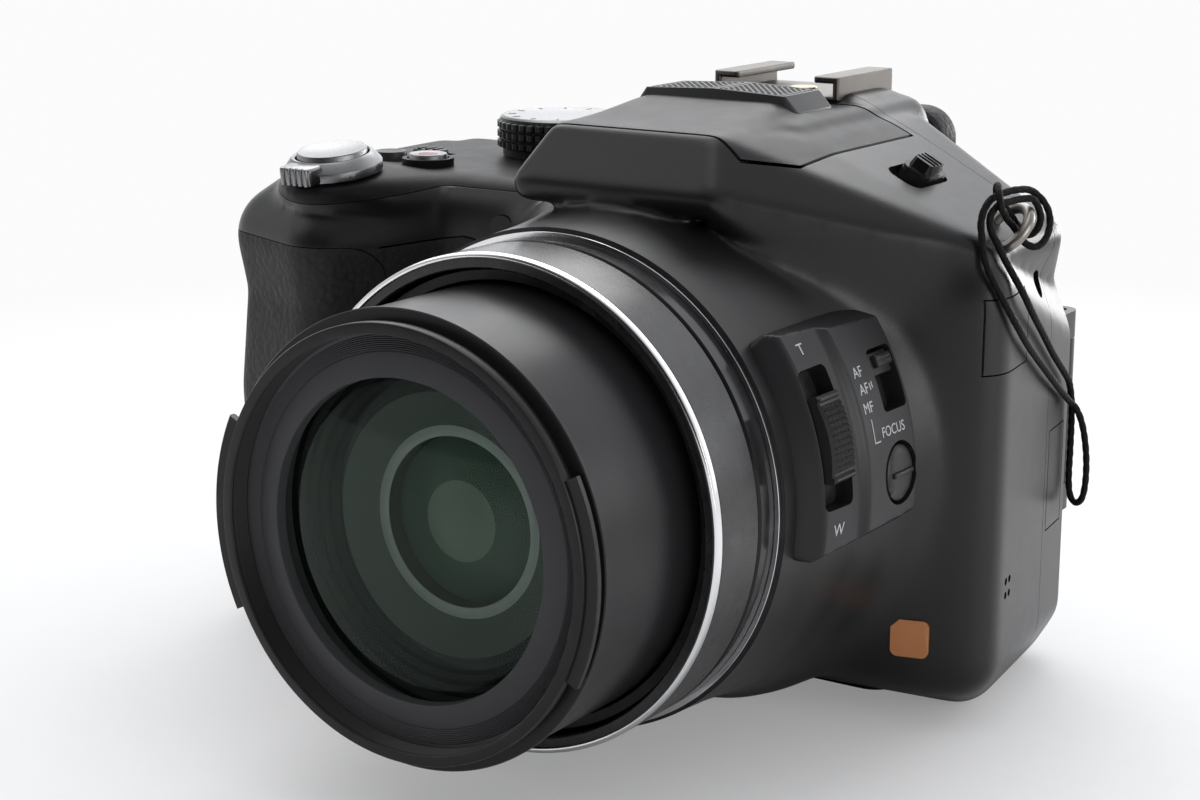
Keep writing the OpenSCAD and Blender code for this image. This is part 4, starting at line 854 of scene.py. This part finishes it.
def wrapped(mesh, step=0.8):
    """Bends a flat form round the lens axis; its X is a length along the arc at the pod's radius."""
    bm = to_bmesh(mesh)
    xs = [v.co.x for v in bm.verts]
    for x in np.arange(math.floor(min(xs)) + 0.37, max(xs), step):
        bmesh.ops.bisect_plane(bm, geom=bm.verts[:] + bm.edges[:] + bm.faces[:], plane_co=(x, 0, 0),
                               plane_no=(1, 0, 0))
    for v in bm.verts:
        a, r = v.co.x / POD_R, POD_R + v.co.z
        v.co = (r * math.cos(a), v.co.y, LENS_Z + r * math.sin(a))
    return from_bmesh(bm)


def arc(angle):
    return math.radians(angle) * POD_R


def grid_block(xs, ys, zs, floor, turns=None):
    """A grid of heights, closed down to a flat floor. Where turns is given its quads are cut in two, and it
    says which of them are cut the other way."""
    n = xs.size
    x, y = xs.ravel(), ys.ravel()
    points = [*zip(x, y, zs.ravel()), *zip(x, y, np.full(n, floor))]
    at = np.arange(n).reshape(xs.shape)
    faces = []
    for i in range(xs.shape[0] - 1):
        for j in range(xs.shape[1] - 1):
            quad = (at[i, j], at[i + 1, j], at[i + 1, j + 1], at[i, j + 1])
            faces.append(tuple(k + n for k in quad[::-1]))
            if turns is None:
                faces.append(quad)
            else:
                a, b, c, d = quad[1:] + quad[:1] if turns(i, j) else quad
                faces += [(a, b, c), (a, c, d)]
    rim = [*at[:, 0], *at[-1, 1:], *at[-2::-1, -1], *at[0, -2:0:-1]]
    faces += [(rim[k], rim[k - 1], rim[k - 1] + n, rim[k] + n) for k in range(len(rim))]
    return solid_from(points, faces)


def height_block(outline_a, outline_b, corner, top, edge, floor, step=0.3):
    """A block whose top is a height for each place, rounded down at its edges."""
    nx = round((outline_b[0] - outline_a[0]) / step)
    ny = round((outline_b[1] - outline_a[1]) / step)
    xs, ys = np.meshgrid(np.linspace(outline_a[0], outline_b[0], nx + 1),
                         np.linspace(outline_a[1], outline_b[1], ny + 1), indexing="ij")
    middle = (np.array(outline_a) + outline_b) / 2
    half = (np.array(outline_b) - outline_a) / 2 - corner
    qx, qy = np.abs(xs - middle[0]) - half[0], np.abs(ys - middle[1]) - half[1]
    inside = corner - (np.hypot(np.maximum(qx, 0), np.maximum(qy, 0)) + np.minimum(np.maximum(qx, qy), 0))
    fall = np.clip(inside, 0, edge)
    zs = top(xs, ys) - (edge - np.sqrt(np.maximum(edge ** 2 - (edge - fall) ** 2, 0)))
    return grid_block(xs, ys, np.where(inside < 0, floor + 0.02, np.maximum(zs, floor + 0.02)), floor)


def pod_height(xs, ys):
    """A front level for the rocker, a step up at the ridge, a gentle fall behind it, bevels at the ends."""
    front_level = 0.2 + (ys - POD_Y[0]) * 0.1
    level = front_level + 0.75 * ramp(ys, -36.8, -35.2) - 0.04 * np.maximum(ys + 35, 0)
    ends = np.minimum(xs - arc(POD_ARC[0]), arc(POD_ARC[1]) - xs)
    return np.minimum(level, np.minimum(1.65 * (ys - POD_Y[0]) - 2.8, 1.1 * ends - 1.1))


ROCK_MID, ROCK_Y, ROCK_W = arc(15), -41.2, 5.4
SWITCH_TOP, SWITCH_Y = arc(27.5), -27
FOCUS_AT, FOCUS_Y = arc(3.6), -27.6
pod = height_block((arc(POD_ARC[0]), POD_Y[0]), (arc(POD_ARC[1]), POD_Y[1]), 1.6, pod_height, 0.5, -3.4)
rock_room = rounded((ROCK_MID - arc(14), ROCK_Y - 3), (ROCK_MID + arc(14), ROCK_Y + 3), 0.9)
switch_room = rounded((SWITCH_TOP - arc(11.7), SWITCH_Y - 2.8), (SWITCH_TOP + arc(0.6), SWITCH_Y + 2.8), 0.7)
pod = cut(pod, prism(rock_room, -1.5, 6), prism(switch_room, -0.2, 6), rod_z(-1, 6, (FOCUS_AT, FOCUS_Y), 4.0))
piece("pod", wrapped(pod), KNOB, "camera", "black_plastic", "control_pod", sharp=40)


def rocker_form():
    """An arched bar with rows of pyramids between two smooth lips, in the flat frame of the pod."""
    long, wide, rows, columns, depth = 10.8, ROCK_W, 11, 5, 0.5
    lip = [-5.4, -5.3, -5.1, -4.8, -4.5]
    across = np.array([*lip, *np.linspace(-4.2, 4.2, 2 * rows + 1), *(-x for x in lip[::-1])])
    along = np.array([-wide / 2, *np.linspace(-wide / 2 + 0.25, wide / 2 - 0.25, 2 * columns + 1), wide / 2])
    first, last = len(lip), len(lip) + 2 * rows
    xs, ys = np.meshgrid(across, along, indexing="ij")
    i, j = np.indices(xs.shape)
    peak = (i > first) & (i < last) & ((i - first) % 2 == 1)
    peak &= (j > 1) & (j < 2 * columns + 1) & ((j - 1) % 2 == 1)
    arch = 2.0 + np.sqrt(15 ** 2 - xs ** 2) - 15 + xs ** 2 / (2 * POD_R)
    edge = np.minimum(wide / 2 - np.abs(ys), long / 2 - np.abs(xs))
    zs = arch + depth * peak + 0.45 * ((i < first - 1) | (i > last + 1)) - 0.3 * (1 - ramp(edge, 0, 0.3))
    return grid_block(xs + ROCK_MID, ys + ROCK_Y, zs, -1.1, lambda i, j: (i - first + j - 1) % 2)


piece("rocker", wrapped(rocker_form(), step=FAR), KNOB, "rocker", "black_plastic", "zoom_rocker", sharp=28)


def block(a, b, r, segments=3):
    return rounded_edges(span(a, b), r, segments)


switch_low = SWITCH_TOP - arc(4.6)
switch = add(block((switch_low, SWITCH_Y - 2.5, 0.3), (SWITCH_TOP, SWITCH_Y + 2.5, 2.2), 0.3),
             block((switch_low + 0.9, SWITCH_Y - 1.9, 1.8), (SWITCH_TOP - 0.5, SWITCH_Y + 2.1, 3.0), 0.3),
             block((switch_low + 1.5, SWITCH_Y - 1.5, 2.8), (switch_low + 1.75, SWITCH_Y + 1.9, 3.1), 0.1))
piece("focus_slide", wrapped(switch), KNOB, "focus_selector", "black_plastic", "focus_switch")
button = turned([(0, 0.9), (3.55, 0.9), (3.6, 1), (3.6, 2.0), (3.5, 2.3), (3.2, 2.5), (2.4, 2.62),
                 (0, 2.7)], 96)
moved(button, place(FOCUS_AT, FOCUS_Y))
bar = block((FOCUS_AT - 0.35, FOCUS_Y - 2.6, 2.2), (FOCUS_AT + 0.35, FOCUS_Y + 2.6, 3.05), 0.25)
piece("focus_push_button", wrapped(add(button, bar)), KNOB, "focus_push", "black_plastic", "focus_button")


# Top controls

def ribs_round(radius, low, high, count, depth, sides=8, rows=1, gap=0.0):
    """A wheel whose rim is cut into rounded ribs, in rows with a groove between them."""
    turn = np.arange(count * sides) * 2 * math.pi / (count * sides)
    wave = np.sqrt(np.abs(np.sin(turn * count / 2)))
    profile = []
    for k in range(rows):
        a = low + (high - low) * k / rows + gap / 2
        b = low + (high - low) * (k + 1) / rows - gap / 2
        profile += [(a, 1.0), (a + 0.25, 0.0), (b - 0.25, 0.0), (b, 1.0)]
    m = len(turn)
    points = []
    for z, sunk in profile:
        r = radius - depth * (1 - wave * (1 - sunk)) - 0.1 * sunk
        points += zip(r * np.cos(turn), r * np.sin(turn), np.full(m, z))
    ends = [tuple(range(m))[::-1], tuple(range(len(points) - m, len(points)))]
    return solid_from(points, bands(len(profile), m) + ends)


ring_low, lever_top = LEVER_SEAT + RUN_GAP, 4.6
lever = turned([(5.6, ring_low), (7.3, ring_low), (7.4, ring_low + 0.1), (7.4, 3), (7.3, 3.2),
                (6.3, lever_top - 0.15), (6.1, lever_top), (5.75, lever_top), (5.6, lever_top - 0.15)], 128)
tab = block((-3, -9.0, ring_low), (3, -5.9, lever_top), 0.5)
tab_rib = [(0, ring_low + 0.2), (0.42, ring_low + 0.2), (0.42, 4.3), (0.3, 4.55), (0, 4.6)]
tab_ribs = [moved(turned(tab_rib, 24), place(x, -8.9)) for x in (-2.2, -1.1, 0, 1.1, 2.2)]
lever = cut(add(lever, tab, *tab_ribs), rod_z(-1, 9, (0, 0), 5.6, 128))
piece("lever_ring", moved(lever, SHUTTER), SILVER, "lever", "satin_silver", "zoom_lever")
dish = [(r, 5.3 - 0.55 * (1 - (r / 5) ** 2)) for r in np.linspace(0, 4.9, 12)]
shutter = turned([(0, -6), (5.3, -6), (5.3, 5.05), (5.15, 5.28), *dish[::-1]], 128)
piece("shutter_top", moved(shutter, SHUTTER), SILVER, "shutter", "satin_silver", "shutter_button")
movie = turned([(0, 67), (3, 67), (3, 72.6), (2.85, 72.85), (2.5, 72.95), (2.2, 72.85), (1.5, 72.75),
                (1.45, 72.85), (0.6, 73), (0, 73)], 96)
paint(movie, lambda c: 1 if math.hypot(c.x, c.y) < 1.47 and c.z > 71 else 0)
piece("movie_top", moved(movie, place(*MOVIE_AT)), [SILVER, RED], "movie", "satin_silver",
      "movie_button")
function = turned([(0, 66), (2.6, 66), (2.6, 72.1), (2.45, 72.35), (2.0, 72.4), (1.6, 72.25), (0, 72.15)], 64)
piece("function_top", moved(function, place(*FUNCTION_AT)), KNOB, "function", "black_plastic",
      "function_button")
power = add(block((-58.7, -2.1, 66), (-56.3, -0.3, 71.4), 0.2),
            block((-60.1, -2.7, 71.3), (-54.9, 0.3, 72.3), 0.4),
            *(block((x - 0.25, -2.5, 72), (x + 0.25, 0.1, 72.5), 0.15) for x in (-59, -57.5, -56)))
piece("power_slide", power, KNOB, "power", "black_plastic", "power_switch")
dial = add(ribs_round(10.2, 72.4, 76.9, 40, 0.55, 8, 3, 0.12),
           turned([(0, 71.3), (9.3, 71.3), (9.3, 72.8), (0, 72.8)], 128), rod_z(63, 72, (0, 0), 3),
           turned([(0, 76.5), (9.7, 76.5), (9.7, 77.2), (9.4, 77.5), (9.2, 77.6), (8.9, 77.5), (0, 77.5)],
                  128))
TICKS = 12
ticks = [moved(block((-0.2, 7.2, 77.3), (0.2, 8.4, 77.55), 0.04, 1),
               Matrix.Rotation(math.radians(360 / TICKS * k), 4, "Z")) for k in range(TICKS)]
paint(dial, lambda c: 1 if math.hypot(c.x, c.y) < 9.75 and c.z > 77.0 else 0)
dial_place = place(*MODE_AT)
piece("mode_wheel", moved(dial, dial_place), [KNOB, SILVER], "mode", "black_plastic", "mode_dial")
piece("mode_ticks", moved(together(*ticks), dial_place), KNOB, "mode", "black_plastic")
rear_wheel = add(ribs_round(7, 61, 65, 44, 0.35), rod_z(58, 67, (0, 0), 1.5))
piece("rear_wheel", moved(rear_wheel, place(*REAR_WHEEL_AT)), KNOB, "thumb_wheel", "black_plastic",
      "rear_dial")
knob = add(ribs_round(4.6, 13.5, 16, 30, 0.25), rod_z(10.5, 14, (0, 0), 1.2))
piece("diopter_wheel", moved(knob, place(0, *DIOPTER_AT) @ ALONG_X), KNOB, "diopter", "black_plastic",
      "diopter_dial")


# Flash top and slider

def chamfered(a, b, corner, low, high, slope, ends=None):
    """A rounded plate with sloping sides; ends gives the front and the back their own slopes."""
    front_slope, back_slope = ends or (slope, slope)
    under = rounded(a, b, corner)
    above = rounded((a[0] + slope, a[1] + front_slope), (b[0] - slope, b[1] - back_slope),
                    max(0.3, corner - slope))
    return frustum(under, above, low, high)


def over_mic(g):
    """What lies above the gable of the microphone plate, lowered by g."""
    side, ridge = HUMP_TOP + 2.45 - g, HUMP_TOP + 3.05 - g
    return along_y([(-14.2, side), (0, ridge), (14.2, side), (14.2, 95), (-14.2, 95)], -20, 10)


mic = chamfered(*MIC, 1.5, HUMP_TOP + 0.35, HUMP_TOP + 3.1, 2.3, (0.45, 1.2))
mic = add(mic, prism(rounded(*MIC, 1.5), HUMP_TOP - 0.3, HUMP_TOP + 0.37))
mic = rounded_edges(cut(mic, over_mic(0)), 0.25, 2)
panels = [prism(rounded((x * 5.6 - 5.2, -10.2), (x * 5.6 + 5.2, -0.8), 0.7), 83.2, 95) for x in (-1, 1)]
insides = [prism(rounded((x * 5.6 - 4.9, -9.9), (x * 5.6 + 4.9, -1.1), 0.5), 83, 96) for x in (-1, 1)]
holes = [prism(circle(0.4, 4, (x * 5.6 + (k % 2 - 0.5) * 0.5 + i, -9.4 + 0.65 * k)), 83.4, 90)
         for x in (-1, 1) for k in range(13) for i in np.arange(-4, 4.1)]
mic = cut(mic, *(keep(cut(panel, inside), over_mic(0.5)) for panel, inside in zip(panels, insides)))
mic = cut(mic, together(*holes))
piece("mic_top", mic, KNOB, "flash", "black_plastic", "mic_plate")
slide = add(chamfered((-2.4, -2.2), (2.4, 5), 1.5, -2.7, -0.5, 0.15),
            chamfered((-1.9, -1), (1.9, 3.8), 1, -0.7, 0.9, 0.35),
            *(block((-1.5, y - 0.2, 0.7), (1.5, y + 0.2, 1.05), 0.12) for y in (0.4, 1.4, 2.4)))
piece("flash_slide", moved(slide, SLIDER), GLOSS, "flash_open", "gloss_black", "flash_slider")


# Printed function marks on the pod, thin and flat

def mark(text, size, at, along):
    """Letters that read along Y, on the pod's outside."""
    curve = bpy.data.curves.new("mark", "FONT")
    curve.body = text
    curve.size = size
    curve.extrude = 0.02
    curve.align_x = "CENTER"
    curve.align_y = "CENTER"
    mesh = evaluated(bpy.data.objects.new("mark", curve))
    moved(mesh, Matrix(((0, 1, 0, at), (1, 0, 0, along), (0, 0, -1, 0.03), (0, 0, 0, 1))))
    return on_pod(mesh)


def on_pod(mesh):
    """Lays a thin flat form on the pod's outside."""
    for v in mesh.vertices:
        v.co.z += float(pod_height(np.array(v.co.x), np.array(v.co.y)))
    return mesh


lines = [span((arc(a), y, 0.01), (arc(b), z, 0.05)) for a, b, y, z in (
    (10.9, 15.6, -33.4, -33.25), (10.9, 11.15, -33.4, -32), (20.9, 22.2, -31.7, -31.5),
    (21.2, 22.4, -31.2, -31))]
marks = together(mark("T", 2.2, arc(32.8), -41.3), mark("W", 2.2, arc(-3.4), -41.2),
                 mark("AF", 1.9, arc(24.8), -33.3), mark("AF", 1.9, arc(21.4), -33.1),
                 mark("MF", 1.9, arc(17.8), -33.3), mark("FOCUS", 1.8, arc(12.3), -28.6),
                 *(on_pod(line) for line in lines))
piece("pod_marks", wrapped(marks), WHITE, "camera", "satin_silver")


# Solids that keep their shape take a finish and softened edges

FINISHES = {
    "bottom_plate": BLACK, "thumb_pad": RUBBER, "lens_base": GREY, "image_sensor": DARK_GLASS,
    "zoom_motor": STEEL, "main_board": BOARD, "speaker": GREY, "flash_arm": GREY, "flash_window": CLEAR,
    "flash_hinge_pin": STEEL, "hot_shoe": SHOE, "shoe_contacts": BRASS, "eyecup": RUBBER,
    "eyepiece_lens": GLASS, "evf_display": GREY, "screen_frame": BLACK, "screen_glass": DARK_GLASS,
    "screen_pin": STEEL,
    "play_button": KNOB, "cursor_pad": KNOB, "set_button": KNOB, "battery": GREY, "battery_door": BLACK,
    "tripod_socket": STEEL, "case_screws": STEEL, "strap_eyelets": STEEL, "badge": ORANGE,
    "assist_lamp": LAMP}
SOFT_EDGES = {"hot_shoe": 0.42, "eyecup": 1.2, "screen_frame": 0.6, "play_button": 0.3, "cursor_pad": 0.4,
              "set_button": 0.3, "thumb_pad": 0.5, "bottom_plate": 0.3, "battery_door": 0.3, "badge": 0.08,
              "battery": 0.8, "shoe_contacts": 0.08, "flash_window": 0.4, "tripod_socket": 0.2}

for name, finish in FINISHES.items():
    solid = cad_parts[name]
    solid.data.materials.clear()
    solid.data.materials.append(finish)
    if name in SOFT_EDGES:
        weld = solid.modifiers.new("weld", "WELD")
        weld.merge_threshold = 1e-6
        bevel = solid.modifiers.new("edges", "BEVEL")
        bevel.width = SOFT_EDGES[name] * MM
        bevel.segments = 3
        bevel.limit_method = "ANGLE"
        bevel.angle_limit = math.radians(40)


# Floor and light

def make_floor():
    made = bpy.data.materials.new("floor_paper")
    made.use_nodes = True
    nodes = Nodes(made.node_tree)
    shader = made.node_tree.nodes["Principled BSDF"]
    shader.inputs["Roughness"].default_value = 0.7
    shader.inputs["Specular IOR Level"].default_value = 0.2
    where = nodes.add("TexCoord").outputs["Object"]
    paper = nodes.mix(nodes.noise(where, 6.0, 4.0), (0.8, 0.8, 0.805, 1), (0.83, 0.83, 0.835, 1))
    made.node_tree.links.new(paper, shader.inputs["Base Color"])
    reach = nodes.add("VectorMath", {0: where}, operation="LENGTH").outputs["Value"]
    seen = nodes.add("LightPath")
    straight = nodes.math("MULTIPLY", nodes.map(reach, 0.25, 1.0, 0.08, 0.32), seen.outputs["Is Camera Ray"])
    back = nodes.map(nodes.add("SeparateXYZ", {"Vector": where}).outputs["Y"], 0.0, 1.0, 0.05, 0.2)
    bounced = nodes.math("MAXIMUM", seen.outputs["Is Glossy Ray"], seen.outputs["Is Transmission Ray"])
    around = nodes.math("MAXIMUM", nodes.map(reach, 0.0, 1.0, 0.4, 1.2), back)
    mirrored = nodes.math("MULTIPLY", around, bounced)
    white = nodes.add("Emission", {"Color": (0.97, 0.97, 0.975, 1), "Strength": 1.0})
    blend = nodes.add("MixShader", {0: nodes.math("MAXIMUM", straight, mirrored), 1: shader.outputs[0],
                                    2: white.outputs[0]})
    made.node_tree.links.new(blend.outputs[0], made.node_tree.nodes["Material Output"].inputs["Surface"])
    mesh = mesh_from([(-9, -9, 0), (9, -9, 0), (9, 9, 0), (-9, 9, 0)], [(0, 1, 2, 3)])
    mesh.materials.append(made)
    floor = bpy.data.objects.new("floor", mesh)
    scene.collection.objects.link(floor)


def make_world():
    """Soft light from above and behind, less from the sides, little from the front."""
    world = bpy.data.worlds.new("studio")
    scene.world = world
    world.use_nodes = True
    nodes = Nodes(world.node_tree)
    shader = world.node_tree.nodes["Background"]
    shader.inputs["Color"].default_value = (0.97, 0.98, 1.0, 1.0)
    towards = nodes.add("SeparateXYZ", {"Vector": nodes.add("TexCoord").outputs["Generated"]}).outputs
    behind = nodes.map(towards["Y"], 0.0, 1.7, 0.1, 0.8)
    above = nodes.map(towards["Z"], 0.0, 0.8, 0.4, 0.95)
    beside = nodes.math("MAXIMUM", nodes.map(towards["X"], 0.0, 0.6, 0.3, 0.9),
                        nodes.map(towards["X"], 0.8, 0.0, -0.95, -0.5))
    soft = nodes.math("ADD", nodes.math("MAXIMUM", nodes.math("MAXIMUM", behind, above), beside), 0.02)
    seen = nodes.add("LightPath")
    direct = nodes.math("MAXIMUM", seen.outputs["Is Camera Ray"], seen.outputs["Is Transmission Ray"])
    strength = nodes.math("MAXIMUM", direct, soft)
    world.node_tree.links.new(strength, shader.inputs["Strength"])


def lamp(name, at, aim, size, power):
    data = bpy.data.lights.new(name, "AREA")
    data.shape = "RECTANGLE"
    data.size, data.size_y = size
    data.energy = power
    made = bpy.data.objects.new(name, data)
    made.location = at
    made.rotation_euler = (Vector(aim) - Vector(at)).to_track_quat("-Z", "Y").to_euler()
    scene.collection.objects.link(made)


make_floor()
make_world()
lamp("top_box", (-0.35, 0.5, 0.7), (0, -0.02, 0.05), (0.8, 0.6), 4)
lamp("side_box", (0.25, 1.1, 0.12), (0.04, 0, 0.04), (0.5, 0.3), 4)
lamp("front_box", (-0.6, -0.4, 0.6), (0, -0.04, 0.05), (0.5, 0.5), 0.8)
lamp("over_box", (-0.15, -0.05, 0.9), (0, -0.03, 0.05), (0.5, 0.5), 1.2)
lamp("right_box", (0.95, -0.1, 0.2), (0.04, 0, 0.04), (0.6, 0.5), 3.2)
scene.view_settings.view_transform = "Standard"
